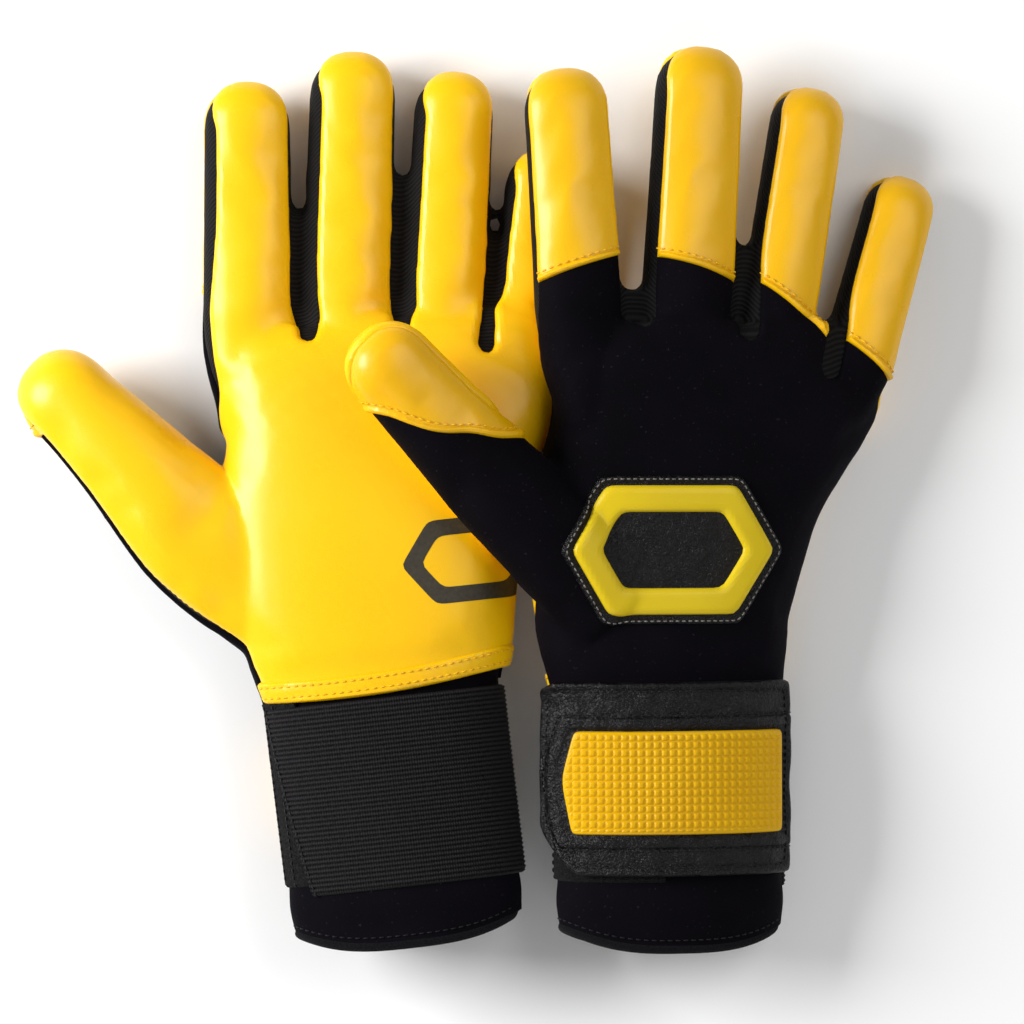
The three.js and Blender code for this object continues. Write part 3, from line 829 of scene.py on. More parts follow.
def skin_pieces(glove, skin):
    for key in ("palm", "back"):
        skin.values[key] = np.sign(skin[key]) * seam_distance(skin, skin[key])
    skin.values["gusset"] = np.minimum(-skin["palm"], -skin["back"])
    across = np.clip(np.abs(skin.p[:, 0]) / 37, 0, 1)
    base = skin.cut(skin["y"] - CUFF_END[1] - (CUFF_END[0] - CUFF_END[1]) * across ** 3)
    sag = HEM_SAG * (1 - np.clip(np.abs(base.p[:, 0]) / 38, 0, 1) ** 2)
    base.values["hem_y"] = base["y"] - HEM_BAND[2] * base.p[:, 0] + sag
    palm = palm_pieces(glove, base)
    back = base.keep("back")
    back_pieces(glove, back)

    # Gussets between palm and back.
    gusset = base.keep("gusset").keep("opened")
    gusset = panel(gusset, "gusset", KNIT)
    gusset.values["flat"] = np.stack([gusset.p[:, 2], gusset.p[:, 1]], axis=1)
    parts = split_owners(gusset)
    piece(glove, "web_gusset", parts["hand"], KNIT["thick"], "gusset", "mesh")
    for name in STALLS:
        piece(glove, name + "_side_gusset", parts[name], KNIT["thick"], "gusset", "mesh", blend=name,
              replaces=[name + "_gusset"])

    # The sleeve, which runs on under the palm's hem, with its slit on the little finger's side.
    cuff = base.cut(SLEEVE_END - 0.3 + 10 * smooth_step(base["palm"], -1, 1) - base.p[:, 1])
    x, y, z = cuff.p.T
    cuff = cuff.cut(np.where(x > 0, np.maximum(np.abs(z) - SLIT["half"], y - SLIT["to"]), 9.0))
    puff = CUFF_PUFF["high"] * np.exp(-((cuff["y"] - CUFF_PUFF["at"]) / CUFF_PUFF["wide"]) ** 2)
    cuff = cuff.push(puff - 0.9 * smooth_step(cuff["y"], 70, 80))
    piece(glove, "cuff", cuff, NEOPRENE["thick"], "neoprene", "neoprene", replaces=["cuff_sleeve"])

    # The brushed lining inside the hand, up to the thumb's root.
    low, high = LINING["y"]
    lining = base.cut(base["y"] - low)
    lining = lining.cut(np.minimum(high - lining["y"], LINING["thumb"] - lining["vt"])).push(-LINING["deep"])
    piece(glove, "lining", lining, LINING["thick"], "lining", "lining", replaces=["hand_lining"])

    badge_pieces(glove, back)

    # The print on the palm's heel.
    outline = hexagon(PRINT["centre"], PRINT["width"], PRINT["height"], PRINT["point"])
    d = outline_distance(palm.p[:, :2], outline)
    palm.values["mark"] = np.min([d, PRINT["frame"] - d, palm["palm"] - 3.5], axis=0)
    mark = palm.keep("mark")
    mark = Patch(mark.p + mark.n * 0.07, mark.f, mark.n, **mark.values)
    piece(glove, "palm_print", mark, SHELL["print"], "print", "latex")


def panel(patch, key, spec):
    """A panel's rounded face, from the seam where its value is 0."""
    patch = patch.score(key, *spec["edges"])
    return patch.push(rounded(patch[key], spec["round"], spec["height"], spec["sink"]))


def palm_pieces(glove, base):
    """The palm's latex, one skin over palm, thumb and finger fronts, and the folded hem that ends it."""
    palm = base.keep("palm")
    palm = palm.cut(palm["hem_y"] - HEM_BAND[0] - 3)
    palm = panel(palm, "palm", LATEX)
    parts = split_owners(palm)
    piece(glove, "palm_panel", parts["hand"], LATEX["thick"], "latex", "latex", pad=0.5,
          replaces=["palm_latex"])
    for name in STALLS:
        piece(glove, name + "_front", parts[name], LATEX["thick"], "latex", "latex", blend=name,
              replaces=[name + "_palm"], pad=0.5)

    band = base.copy()
    low, high, _ = HEM_BAND
    band.values["band"] = np.min([band["hem_y"] - low, high - band["hem_y"], band["palm"] + 1.2], axis=0)
    band = band.keep("band").score("band", 0.3, 0.8, 1.5)
    rows = (low + HEM_ROWS[0], high - HEM_ROWS[1])
    dents = sum(0.35 * groove(band["hem_y"] - row) for row in rows)
    band = band.push(rounded(band["band"], 1.5, 2.5, 0.0) - dents)
    piece(glove, "palm_hem_band", band, SHELL["hem"], "hem", "hem", replaces=["palm_hem"])
    lines = [line for row in rows for line in contour(band, band["hem_y"] - row)]
    stitches(glove, "palm_hem_stitches", lines, "yellow_thread", "hem", lift=0.05, **LATEX_THREAD)
    return palm


def back_pieces(glove, back):
    """The back of the hand: neoprene up to the stalls' hems, and latex beyond them."""
    hems = np.max([back["hem_" + name] for name in STALLS], axis=0)
    cloth = back.cut(-hems - 0.1)
    cloth = cloth.cut(cloth["y"] - SLEEVE_END)
    parts = split_owners(panel(cloth, "back", NEOPRENE))
    piece(glove, "back_cloth", parts["hand"], NEOPRENE["thick"], "neoprene", "neoprene",
          replaces=["back_panel"])
    for name in STALLS:
        if len(parts[name].f):
            piece(glove, name + "_root_cloth", parts[name], NEOPRENE["thick"], "neoprene", "neoprene",
                  blend=name)
    for name in STALLS:
        hem = "hem_" + name
        pad = back.cut(back[hem])
        pad.values["edge"] = np.minimum(pad["back"], pad[hem] + 0.5)
        pad = pad.score("edge", *LATEX["edges"])
        pad = pad.score(hem, 0.3, HEM_WIDTH / 2, HEM_WIDTH, HEM_WIDTH + 0.5)
        height = rounded(pad["edge"], LATEX["round"], LATEX["height"], LATEX["sink"])
        roll = np.clip(pad[hem] / HEM_WIDTH, 0, 1)
        height += 1.1 * np.sqrt(np.clip(1 - (roll * 2 - 1) ** 2, 0, 1)) * smooth_step(pad["back"], 0.3, 2.5)
        pad = pad.push(height)
        piece(glove, name + "_back_pad", pad, LATEX["thick"], "back_latex", "latex", blend=name,
              replaces=[name + "_back"], pad=0.5)
        row = contour(pad, pad[hem] - HEM_WIDTH - 0.8)
        stitches(glove, name + "_hem_stitches", row, "yellow_thread", "latex", blend=name, **LATEX_THREAD)


def badge_pieces(glove, back):
    """The badge on the back of the hand: a stitched backing, and a raised frame on it."""
    badge = hexagon(BADGE["centre"], BADGE["width"], BADGE["height"], BADGE["point"])
    away = outline_distance(back.p[:, :2], badge)
    plate = back.copy()
    plate.values["badge"] = away
    plate = plate.keep("badge").score("badge", 0.3, 0.8, 1.4, 2.4)
    lip = plate["badge"] / 2.4
    lip = np.clip(4 * lip * (1 - lip), 0, 1)
    plate = plate.push(0.6 + rounded(plate["badge"], 0.8, 0.8, 0.0) + 0.5 * lip)
    piece(glove, "badge_plate", plate, SHELL["badge"], "leather", "leather", replaces=["emblem_backing"])
    row = contour(plate, plate["badge"] - 1.2)
    stitches(glove, "badge_stitches", row, "grey_thread", "leather", **BADGE_THREAD)
    ring = back.copy()
    d = away - BADGE["edge"]
    ring.values["ring"] = np.minimum(d, BADGE["frame"] - d)
    ring = ring.keep("ring").score("ring", 0.3, 0.8, 1.6, 2.5)
    ring = ring.push(1.3 + rounded(ring["ring"], 2.4, 1.7, 0.0))
    piece(glove, "badge_frame", ring, SHELL["badge"], "badge", "rubber", replaces=["emblem_frame"])


def groove(away):
    return np.exp(-((away / 0.45) ** 2))


def hexagon(centre, width, height, point):
    half, tall = width / 2, height / 2
    corners = [(half, 0), (half - point, tall), (point - half, tall)]
    corners += [(-x, -y) for x, y in corners]
    return np.array(corners, float) + centre


def outline_distance(points, corners):
    """How far inside a convex outline the points are, its corners taken anticlockwise."""
    away = np.full(len(points), 1e9)
    for a, b in zip(corners, np.roll(corners, -1, axis=0)):
        d = (b - a) / np.linalg.norm(b - a)
        along = (points[:, 0] - a[0]) * -d[1] + (points[:, 1] - a[1]) * d[0]
        away = smooth_min(away, along, 0.7)
    return away


# ---- Stitches and piping ----
def tube(centres, normals, radii, sides=7):
    """Closed tubes along rows of centres (strands, points, 3), as one patch."""
    strands, count = centres.shape[:2]
    tangent = np.gradient(centres, axis=1)
    tangent /= np.maximum(np.linalg.norm(tangent, axis=2, keepdims=True), 1e-9)
    across = np.cross(tangent, normals)
    across /= np.maximum(np.linalg.norm(across, axis=2, keepdims=True), 1e-9)
    up = np.cross(across, tangent)
    turn = np.linspace(0, 2 * math.pi, sides, endpoint=False)
    out = across[:, :, None] * np.cos(turn)[:, None] + up[:, :, None] * np.sin(turn)[:, None]
    points = centres[:, :, None] + out * radii[None, :, None, None]
    i, j = np.meshgrid(np.arange(count - 1), np.arange(sides), indexing="ij")
    a, b = i * sides + j, i * sides + (j + 1) % sides
    faces = np.concatenate([np.stack([a, a + sides, b], -1), np.stack([b, a + sides, b + sides], -1)])
    faces = faces.reshape(-1, 3)
    caps = [(0, k, k + 1) for k in range(1, sides - 1)]
    last = (count - 1) * sides
    caps += [(last, last + k + 1, last + k) for k in range(1, sides - 1)]
    faces = np.concatenate([faces, caps])
    size = count * sides
    faces = (faces[None] + (np.arange(strands) * size)[:, None, None]).reshape(-1, 3)
    return Patch(points.reshape(-1, 3), faces, out.reshape(-1, 3))


def stitches(glove, name, lines, material, slot, pitch, length, radius, lift=0.12, **place):
    """A run of thread stitches along each line."""
    centres, normals = [], []
    for points, outward in lines:
        run = np.concatenate([[0], np.cumsum(np.linalg.norm(np.diff(points, axis=0), axis=1))])
        if run[-1] < pitch * 2:
            continue
        starts = np.arange(0.3, run[-1] - length, pitch)
        at = starts[:, None] + np.linspace(0, length, 6)[None]
        pick = lambda v: np.stack([np.interp(at, run, v[:, i]) for i in range(3)], axis=-1)
        outward = pick(outward)
        outward /= np.maximum(np.linalg.norm(outward, axis=2, keepdims=True), 1e-9)
        bow = np.array([-1.2, 0.1, 0.55, 0.55, 0.1, -1.2]) * radius + lift
        centres.append(pick(points) + outward * bow[None, :, None])
        normals.append(outward)
    if not centres:
        return
    radii = np.array([0.6, 0.95, 1, 1, 0.95, 0.6]) * radius
    thread = tube(np.concatenate(centres), np.concatenate(normals), radii)
    piece(glove, name, thread, 0, material, slot, **place)


# ---- Round the wrist ----
def wrist_patch(glove, spec, step):
    """A grid over the wrist, with its distance along the arc and along the forearm as flat, and the function
    that finds the distance along the arc of an x in the glove's plane."""
    ys = np.linspace(*spec["y"], int((spec["y"][1] - spec["y"][0]) / step) + 1)
    middle, half, above, below, _ = hand_table(glove, np.maximum(ys, 0))
    fine = np.radians(np.linspace(spec["arc"][0], spec["arc"][1], 721))
    a, b = half.mean() + spec["at"], above.mean() + spec["at"]
    steps = np.hypot(np.diff(a * np.cos(fine)), np.diff(b * np.sin(fine)))
    run = np.concatenate([[0], np.cumsum(steps)])
    count = int(run[-1] / step) + 1
    angle = np.interp(np.linspace(0, run[-1], count), run, fine)
    depth = np.where(np.sin(angle) > 0, above[:, None], below[:, None]) + spec["at"]
    width = half[:, None] + spec["at"]
    x = width * np.cos(angle) + middle[:, None]
    y = np.repeat(ys[:, None], count, axis=1)
    z = depth * np.sin(angle)
    normals = np.stack([np.cos(angle) * depth, 0 * x, np.sin(angle) * width], axis=-1)
    normals /= np.linalg.norm(normals, axis=-1, keepdims=True)
    j, i = np.meshgrid(np.arange(len(ys) - 1), np.arange(count - 1), indexing="ij")
    k = j * count + i
    faces = [np.stack([k, k + count, k + 1], -1), np.stack([k + 1, k + count, k + count + 1], -1)]
    arc = np.repeat(np.linspace(0, run[-1], count)[None], len(ys), axis=0)
    flat = np.stack([arc, y], axis=-1).reshape(-1, 2)
    points = np.stack([x, y, z], axis=-1).reshape(-1, 3)
    made = Patch(points, np.concatenate(faces), normals.reshape(-1, 3), flat=flat)
    made.values["angle"] = np.degrees(np.repeat(angle[None], len(ys), axis=0)).ravel()
    return made, lambda x: np.interp(np.arccos(np.clip(x / a, -1, 1)), fine, run)


def wrist_outline(patch, arc_at, shape):
    """How far inside a shape the points are. Its corners are x in the glove's plane and y along the arm."""
    corners = np.array([(float(arc_at(x)), y) for x, y in shape])[::-1]
    return outline_distance(patch["flat"], corners)


def bumps(flat, pitch):
    """Square studs: 0 in the grooves and 1 on top."""
    wave = np.abs((flat / pitch) % 1 - 0.5) * 2
    side = np.clip((0.8 - wave) / 0.22, 0, 1)
    side = side * side * (3 - 2 * side)
    return side[:, 0] * side[:, 1]


def wrinkles(flat):
    """Soft creases of worn leather, in millimetres."""
    x, y = flat.T
    creases = 0.3 * np.sin(x / 3.1 + 1.3 * np.sin(y / 6.7)) * np.sin(y / 4.3 + 0.9 * np.sin(x / 7.9))
    swells = 0.3 * np.sin(x / 8.3 + 0.7 + 1.1 * np.sin(y / 11.0))
    return creases + swells + 0.08 * np.sin(x / 1.7 + 2 * np.sin(y / 2.9))


def wrist_pieces(glove):
    # The ribbed elastic over the palm side.
    band, _ = wrist_patch(glove, ELASTIC, ELASTIC["pitch"] / 4)
    low, high = ELASTIC["y"]
    lean = np.interp(band.p[:, 1], (low, high), ELASTIC["lean"])
    band.values["side"] = (band["angle"] - lean) * 0.5
    band = band.keep("side")
    rib = 0.5 + 0.5 * np.cos(band.p[:, 1] / ELASTIC["pitch"] * 2 * math.pi)
    end = np.minimum(band.p[:, 1] - low, high - band.p[:, 1])
    wave = 0.12 * np.sin(band.p[:, 0] / 5.0 + band.p[:, 1] / 17)
    band = band.push((ELASTIC["thick"] - 0.8 + 0.55 * rib ** 0.7 + wave) * smooth_step(end, -0.5, 1.0) + 0.1)
    piece(glove, "elastic", band, SHELL["elastic"], "elastic", "elastic", replaces=["elastic_band"])
    row = contour(band, band["side"] - 1.2)
    stitches(glove, "elastic_stitches", row, "dark_thread", "elastic", **BAND_THREAD)

    # The loop strip under the strap's free end.
    loops, _ = wrist_patch(glove, LOOP, 1.0)
    low, high = LOOP["y"]
    edge = np.minimum(loops.p[:, 1] - low, high - loops.p[:, 1])
    loops = loops.push(rounded(edge, 0.8, LOOP["thick"], 0.0))
    piece(glove, "loop_strip", loops, SHELL["loops"], "fastener", "fastener", replaces=["loop_pad"])
    rows = [line for angle in LOOP["rows"] for line in contour(loops, loops["angle"] - angle)]
    stitches(glove, "loop_stitches", rows, "dark_thread", "fastener", **BAND_THREAD)

    strap_pieces(glove)
    cuff_trim(glove)


def strap_pieces(glove):
    """The closure strap with its welt, the studded patch on it and the hooks under its free end."""
    reach = STRAP["reach"][glove.side]
    low, high = STRAP["y"]
    shape = [(60, low), (60, high), (4 - reach, high), (1.4 - reach, high - 3), (0.3 - reach, high - 22)]
    shape += [(-reach, 50), (1.0 - reach, low + 16), (4.2 - reach, low + 4.5), (8.4 - reach, low)]
    (left, right), (bottom, top) = PATCH["x"], PATCH["y"]
    patch_shape = [(right, bottom), (right, top), (left + 3.2, top), (left, (top + bottom) / 2 + 1)]
    patch_shape += [(left + 2.4, bottom)]
    flare = lambda patch: STRAP["flare"][glove.side] * smooth_step(patch["angle"], 128, 176)

    leather, arc_at = wrist_patch(glove, dict(STRAP, at=STRAP["at"] - STRAP["thick"] + 0.6), 0.8)
    edge = wrist_outline(leather, arc_at, shape)
    leather.values["edge"] = np.minimum(edge, leather["flat"][:, 0] + 0.01)
    leather.values["window"] = wrist_outline(leather, arc_at, patch_shape)
    leather = leather.keep("edge").score("edge", 0.4, 1.0, 1.7)
    leather = leather.score("window", -4.6, -4.0, -2.6, -1.2)
    edge, window = leather["edge"], leather["window"]
    welt = np.sqrt(np.clip(1 - ((window + 2.6) / 2.0) ** 2, 0, 1)) * 0.75
    lip = np.sqrt(np.clip(1 - ((edge - 1.2) / 1.2) ** 2, 0, 1)) * 0.3
    height = rounded(edge, 1.2, 1.3, 0.0) + welt + lip + wrinkles(leather["flat"]) - 0.3 * groove(edge - 3.0)
    leather = leather.push(height + flare(leather))
    piece(glove, "closure", leather, SHELL["leather"], "leather", "leather", body="strap",
          replaces=["closure_strap"])
    rows = contour(leather, leather["edge"] - 3.0) + contour(leather, leather["window"] + 5.2)
    stitches(glove, "closure_stitches", rows, "dark_thread", "leather", body="strap", **STRAP_THREAD)

    studs, arc_at = wrist_patch(glove, PATCH, PATCH["pitch"] / 7)
    studs.values["edge"] = wrist_outline(studs, arc_at, patch_shape)
    studs = studs.keep("edge").score("edge", 0.3, 0.8)
    raised = 0.55 * bumps(studs["flat"], PATCH["pitch"]) * smooth_step(studs["edge"], 0.9, 1.5)
    studs = studs.push(flare(studs) + rounded(studs["edge"], 0.8, PATCH["thick"], 0.0) + raised)
    piece(glove, "studded_patch", studs, SHELL["studs"], "rubber", "rubber", body="strap",
          replaces=["strap_patch"])

    hooks, _ = wrist_patch(glove, HOOK, 1.0)
    piece(glove, "hook_strip", hooks, SHELL["hooks"], "fastener", "fastener", body="strap",
          replaces=["hook_pad"])


def cuff_trim(glove):
    """Piping along the cuff's end and up both sides of the slit, and a row of stitches beside it."""
    angle = np.radians(np.linspace(0, 360, 241)[4:-4])
    wall = NEOPRENE["thick"] / 2
    _, half, above, _, _ = hand_table(glove, np.zeros(1))
    a, b = half[0] - wall, above[0] - wall
    drop = CUFF_END[1] + (CUFF_END[0] - CUFF_END[1]) * np.abs(np.cos(angle)) ** 3 - 0.3
    rim = np.stack([a * np.cos(angle), drop, b * np.sin(angle)], axis=1)
    rim = rim[np.abs(rim[:, 2]) > np.where(rim[:, 0] > 0, SLIT["half"] + 1.6, -1)]
    start = math.asin((SLIT["half"] + 0.4) / b)
    side_ys = np.linspace(SLIT["to"] - 1, 4.0, 12)
    ascent = np.stack([0 * side_ys + a * math.cos(start), side_ys, 0 * side_ys + b * math.sin(start)], axis=1)
    path = np.concatenate([ascent, rim, ascent[::-1] * (1, 1, -1)])
    path = smooth_line(path, False, 3)
    piping = tube(path[None], outward_of(path, a, b)[None], np.full(len(path), PIPING), sides=12)
    piece(glove, "piping", piping, 0, "binding", "fastener", replaces=["cuff_binding"])
    outward = outward_of(rim, a, b)
    row = rim + outward * (wall + 0.15) + np.array([0, 2.7, 0])
    stitches(glove, "cuff_stitches", [(row, outward)], "dark_thread", "fastener", **CUFF_THREAD)


def outward_of(points, a, b):
    out = points * (1 / a ** 2, 0, 1 / b ** 2)
    return out / np.linalg.norm(out, axis=1, keepdims=True)


# ---- Materials ----
class Nodes:
    """Short ways to add and join shader nodes."""

    def __init__(self, name):
        self.material = bpy.data.materials.new(name)
        self.material.use_nodes = True
        self.tree = self.material.node_tree
        self.shader = self.tree.nodes["Principled BSDF"]

    def add(self, kind, **settings):
        node = self.tree.nodes.new(kind)
        for key, value in settings.items():
            if key in node.inputs:
                node.inputs[key].default_value = value
            else:
                setattr(node, key, value)
        return node

    def join(self, source, target):
        self.tree.links.new(source, target)

    def noise(self, scale, detail=3.0, rough=0.5):
        node = self.add("ShaderNodeTexNoise", Scale=scale, Detail=detail, Roughness=rough)
        self.join(self.place(), node.inputs["Vector"])
        return node.outputs["Fac"]

    def place(self):
        return self.add("ShaderNodeTexCoord").outputs["Object"]

    def bands(self, direction, scale, distortion=0.0):
        """Waves along the piece's own flat layout, in metres."""
        node = self.add("ShaderNodeTexWave", wave_type="BANDS", bands_direction=direction)
        node.inputs["Scale"].default_value = scale
        node.inputs["Distortion"].default_value = distortion
        self.join(self.add("ShaderNodeTexCoord").outputs["UV"], node.inputs["Vector"])
        return node.outputs["Fac"]

    def ramp(self, value, *stops):
        node = self.add("ShaderNodeValToRGB")
        while len(node.color_ramp.elements) < len(stops):
            node.color_ramp.elements.new(0.5)
        for element, (position, colour) in zip(node.color_ramp.elements, stops):
            element.position = position
            element.color = (*colour, 1) if len(colour) == 3 else colour
        self.join(value, node.inputs["Fac"])
        return node.outputs["Color"]

    def bump(self, value, strength, distance, after=None):
        node = self.add("ShaderNodeBump", Strength=strength, Distance=distance)
        self.join(value, node.inputs["Height"])
        if after is not None:
            self.join(after, node.inputs["Normal"])
        return node.outputs["Normal"]

    def math(self, operation, a, b):
        node = self.add("ShaderNodeMath", operation=operation)
        for i, value in enumerate((a, b)):
            if isinstance(value, (int, float)):
                node.inputs[i].default_value = value
            else:
                self.join(value, node.inputs[i])
        return node.outputs[0]

    def set(self, **inputs):
        for key, value in inputs.items():
            socket = self.shader.inputs[key.replace("_", " ")]
            if isinstance(value, (int, float, tuple)):
                socket.default_value = value
            else:
                self.join(value, socket)


def grey(v):
    return (v, v, v)


def latex_material(name, low, high):
    m = Nodes(name)
    colour = m.ramp(m.noise(9, 2), (0.3, low), (0.7, high))
    fine = m.noise(1500, 3, 0.6)
    pores = m.noise(420, 4, 0.7)
    normal = m.bump(fine, 0.10, 0.0002, m.bump(pores, 0.07, 0.0004))
    rough = m.ramp(m.noise(60, 4), (0.3, grey(0.25)), (0.7, grey(0.33)))
    m.set(Base_Color=colour, Roughness=0.5, Normal=normal)
    m.set(Specular_IOR_Level=0.12, Coat_Weight=0.55, Coat_Roughness=rough, Coat_Normal=normal)
    m.set(Subsurface_Weight=0.15, Subsurface_Scale=0.004, Subsurface_Radius=(1.0, 0.35, 0.03))
    return m.material


def neoprene_material():
    m = Nodes("neoprene")
    knit = m.noise(2600, 2, 0.6)
    lint = m.ramp(m.noise(900, 1), (0.7, grey(0)), (0.8, grey(1)))
    base = m.ramp(m.noise(30, 3), (0.3, (0.0010, 0.0006, 0.0016)), (0.7, (0.0026, 0.0018, 0.0040)))
    mix = m.add("ShaderNodeMix", data_type="RGBA")
    m.join(lint, mix.inputs[0])
    m.join(base, mix.inputs[6])
    mix.inputs[7].default_value = (0.012, 0.010, 0.014, 1)
    m.set(Base_Color=mix.outputs[2], Roughness=0.82, Normal=m.bump(knit, 0.35, 0.0003))
    m.set(Sheen_Weight=0.012, Sheen_Roughness=0.35, Specular_IOR_Level=0.06)
    m.shader.inputs["Sheen Tint"].default_value = (0.75, 0.7, 0.95, 1)
    return m.material


def gusset_material():
    m = Nodes("gusset_knit")
    wave = m.bands("DIAGONAL", 420, 0.6)
    colour = m.ramp(wave, (0.2, (0.0012, 0.0012, 0.0014)), (0.8, (0.0090, 0.0080, 0.0080)))
    normal = m.bump(m.noise(2500, 2), 0.3, 0.0002, m.bump(wave, 0.6, 0.0003))
    m.set(Base_Color=colour, Roughness=0.7, Normal=normal)
    m.set(Sheen_Weight=0.02, Specular_IOR_Level=0.12)
    return m.material


def elastic_material():
    m = Nodes("elastic")
    wave = m.bands("X", 380, 0.4)
    # Painted shade: the colour is darker in the grooves between the ribs, in step with the ribbed relief.
    rib_groove_shade = m.bands("Y", math.pi / 10 / (ELASTIC["pitch"] * MM))
    speck = m.noise(1400, 2, 0.7)
    both = m.math("SUBTRACT", m.math("ADD", speck, 0.30), m.math("MULTIPLY", rib_groove_shade, 0.55))
    colour = m.ramp(both, (0.2, (0.0008, 0.0008, 0.001)), (0.85, (0.018, 0.0165, 0.018)))
    normal = m.bump(speck, 0.4, 0.0003, m.bump(wave, 0.5, 0.0003))
    m.set(Base_Color=colour, Roughness=0.78, Normal=normal)
    m.set(Sheen_Weight=0.02, Specular_IOR_Level=0.1)
    return m.material


def leather_material():
    m = Nodes("leather")
    cells = m.add("ShaderNodeTexVoronoi", feature="DISTANCE_TO_EDGE", Scale=900.0)
    m.join(m.place(), cells.inputs["Vector"])
    grain = m.ramp(cells.outputs["Distance"], (0.0, grey(0)), (0.12, grey(1)))
    creases = m.noise(160, 5, 0.65)
    # The creases noise gives the leather's creases as bumps; the colour from it is painted shade, darker in
    # the creases' hollows.
    colour = m.ramp(creases, (0.35, (0.0012, 0.0009, 0.0012)), (0.7, (0.0040, 0.0030, 0.0036)))
    normal = m.bump(grain, 0.45, 0.00025, m.bump(creases, 0.9, 0.0022))
    rough = m.ramp(m.noise(90, 4), (0.3, grey(0.24)), (0.7, grey(0.44)))
    m.set(Base_Color=colour, Roughness=rough, Normal=normal)
    m.set(Specular_IOR_Level=0.24)
    return m.material


def rubber_material(name, low, high):
    m = Nodes(name)
    colour = m.ramp(m.noise(25, 3), (0.3, low), (0.7, high))
    m.set(Base_Color=colour, Roughness=0.36, Normal=m.bump(m.noise(1800, 2), 0.08, 0.0002))
    m.set(Specular_IOR_Level=0.22, Subsurface_Weight=0.12, Subsurface_Scale=0.002)
    m.set(Subsurface_Radius=(1.0, 0.5, 0.05))
    return m.material


def pile_material(name, dark, light, scale):
    m = Nodes(name)
    tufts = m.noise(scale, 3, 0.7)
    m.set(Base_Color=m.ramp(tufts, (0.35, dark), (0.7, light)), Roughness=0.95)
    m.set(Normal=m.bump(tufts, 0.9, 0.0007), Sheen_Weight=0.02, Sheen_Roughness=0.5, Specular_IOR_Level=0.1)
    return m.material


def thread_material(name, dark, light):
    m = Nodes(name)
    twist = m.noise(3500, 1)
    m.set(Base_Color=m.ramp(twist, (0.35, dark), (0.65, light)), Roughness=0.55)
    m.set(Normal=m.bump(twist, 0.5, 0.0001), Sheen_Weight=0.04, Specular_IOR_Level=0.2)
    return m.material


def print_material():
    m = Nodes("palm_print")
    colour = m.ramp(m.noise(700, 4, 0.7), (0.3, (0.018, 0.014, 0.008)), (0.75, (0.05, 0.038, 0.016)))
    m.set(Base_Color=colour, Roughness=0.6, Normal=m.bump(m.noise(1500, 2), 0.15, 0.0002))
    return m.material


def make_materials():
    MATERIALS["latex"] = latex_material("latex", (0.93, 0.505, 0.0), (0.98, 0.57, 0.0))
    MATERIALS["back_latex"] = latex_material("back_latex", (0.80, 0.42, 0.0), (0.86, 0.475, 0.0))
    MATERIALS["hem"] = latex_material("hem_latex", (0.89, 0.47, 0.0), (0.95, 0.55, 0.0005))
    MATERIALS["neoprene"] = neoprene_material()
    MATERIALS["gusset"] = gusset_material()
    MATERIALS["elastic"] = elastic_material()
    MATERIALS["leather"] = leather_material()
    MATERIALS["rubber"] = rubber_material("rubber", (0.66, 0.36, 0.0), (0.74, 0.42, 0.0))
    MATERIALS["badge"] = rubber_material("badge_rubber", (0.66, 0.47, 0.008), (0.74, 0.55, 0.012))
    MATERIALS["fastener"] = pile_material("fastener", (0.002, 0.002, 0.0024), (0.016, 0.015, 0.016), 1300)
    MATERIALS["lining"] = pile_material("lining", (0.02, 0.02, 0.022), (0.06, 0.06, 0.065), 700)
    MATERIALS["binding"] = pile_material("binding", (0.002, 0.002, 0.003), (0.009, 0.008, 0.01), 2200)
    MATERIALS["yellow_thread"] = thread_material("yellow_thread", (0.62, 0.28, 0.0), (0.98, 0.6, 0.02))
    dark, light = (0.0015, 0.0015, 0.0016), (0.007, 0.0065, 0.007)
    MATERIALS["dark_thread"] = thread_material("dark_thread", dark, light)
    MATERIALS["grey_thread"] = thread_material("grey_thread", (0.06, 0.058, 0.055), (0.3, 0.28, 0.25))
    MATERIALS["print"] = print_material()


# ---- Stage ----
FLOOR = {"reach": 4.0, "z": -0.0003}
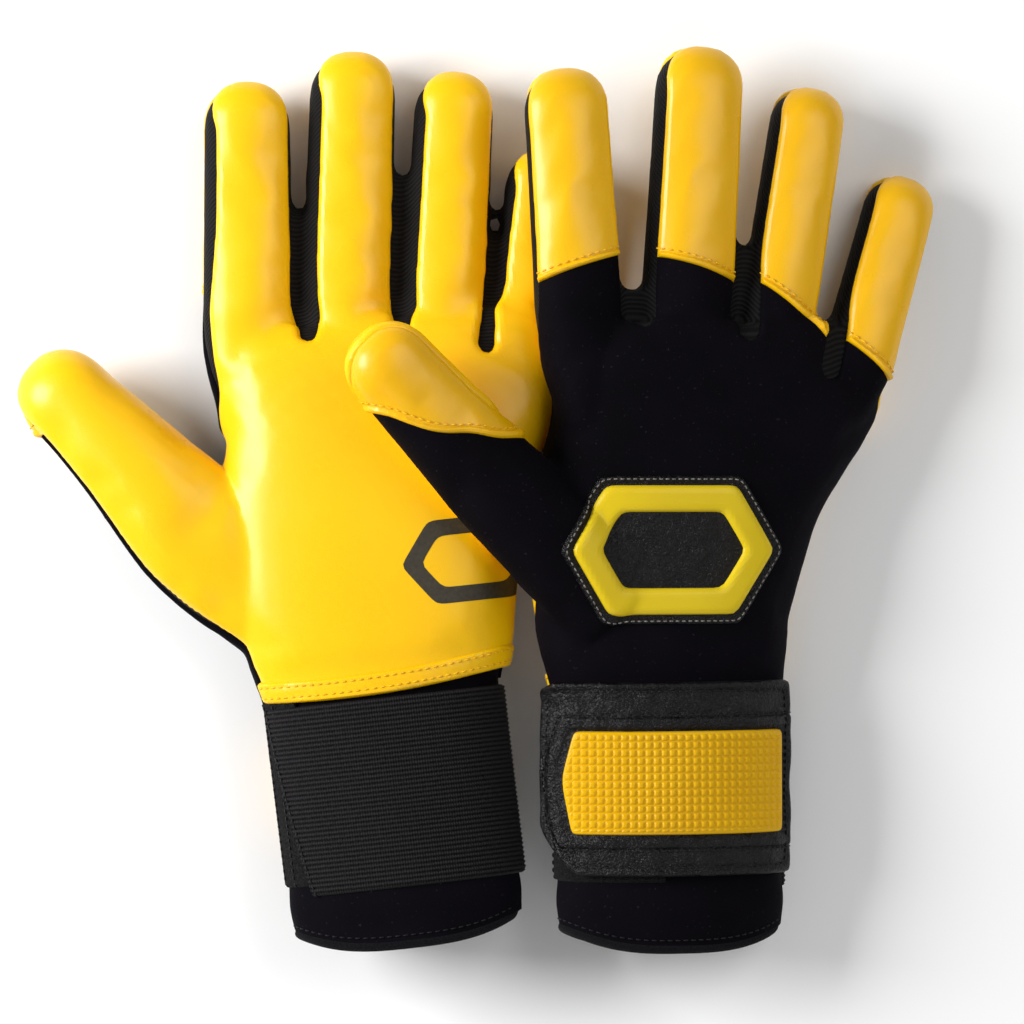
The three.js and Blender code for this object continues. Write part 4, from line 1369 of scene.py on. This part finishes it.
# The camera looks straight down and sees a square of this width at the height z.
VIEW = {"lens": 200, "sensor": 36, "over": (0.01244, -0.00482), "width": 0.3291, "z": 0.04}
LIGHTS = (
    ("key", (-1.2, 0.3, 0.75), 0.7, 29),
    ("fill", (0.9, 0.5, 1.3), 1.0, 8),
    ("rim", (0.2, -1.2, 0.9), 1.0, 4),
)


def build_stage():
    lo, hi = CAD_BOX
    middle = (lo + hi) / 2
    floor_mesh = bpy.data.meshes.new("floor")
    reach, z = FLOOR["reach"], FLOOR["z"]
    corners = [(-reach, -reach, z), (reach, -reach, z), (reach, reach, z), (-reach, reach, z)]
    floor_mesh.from_pydata(corners, [], [(0, 1, 2, 3)])
    floor = bpy.data.objects.new("floor", floor_mesh)
    bpy.context.scene.collection.objects.link(floor)
    paint = Nodes("floor_paint")
    paint.set(Base_Color=(0.93, 0.93, 0.93, 1), Roughness=0.8)
    floor_mesh.materials.append(paint.material)

    camera = bpy.data.cameras.new("camera")
    camera.lens = VIEW["lens"]
    camera.sensor_width = VIEW["sensor"]
    eye = bpy.data.objects.new("camera", camera)
    bpy.context.scene.collection.objects.link(eye)
    eye.location = (*VIEW["over"], VIEW["width"] * VIEW["lens"] / VIEW["sensor"] + VIEW["z"])
    eye.rotation_euler = (0, 0, 0)
    bpy.context.scene.camera = eye

    for name, place, size, power in LIGHTS:
        light = bpy.data.lights.new(name, "AREA")
        light.size = size
        light.energy = power
        lamp = bpy.data.objects.new(name, light)
        bpy.context.scene.collection.objects.link(lamp)
        lamp.location = place
        lamp.rotation_euler = (middle - Vector(place)).to_track_quat("-Z", "Y").to_euler()
    world = bpy.data.worlds.new("studio")
    world.use_nodes = True
    world.node_tree.nodes["Background"].inputs["Color"].default_value = (1, 1, 1, 1)
    world.node_tree.nodes["Background"].inputs["Strength"].default_value = 0.26
    bpy.context.scene.world = world
    bpy.context.scene.view_settings.view_transform = "Standard"


build_stage()
make_materials()
for side in SIDES:
    glove = Glove(side)
    skin = settled(glove, mark_seams(glove, skin_of(glove)))
    skin_pieces(glove, skin)
    wrist_pieces(glove)
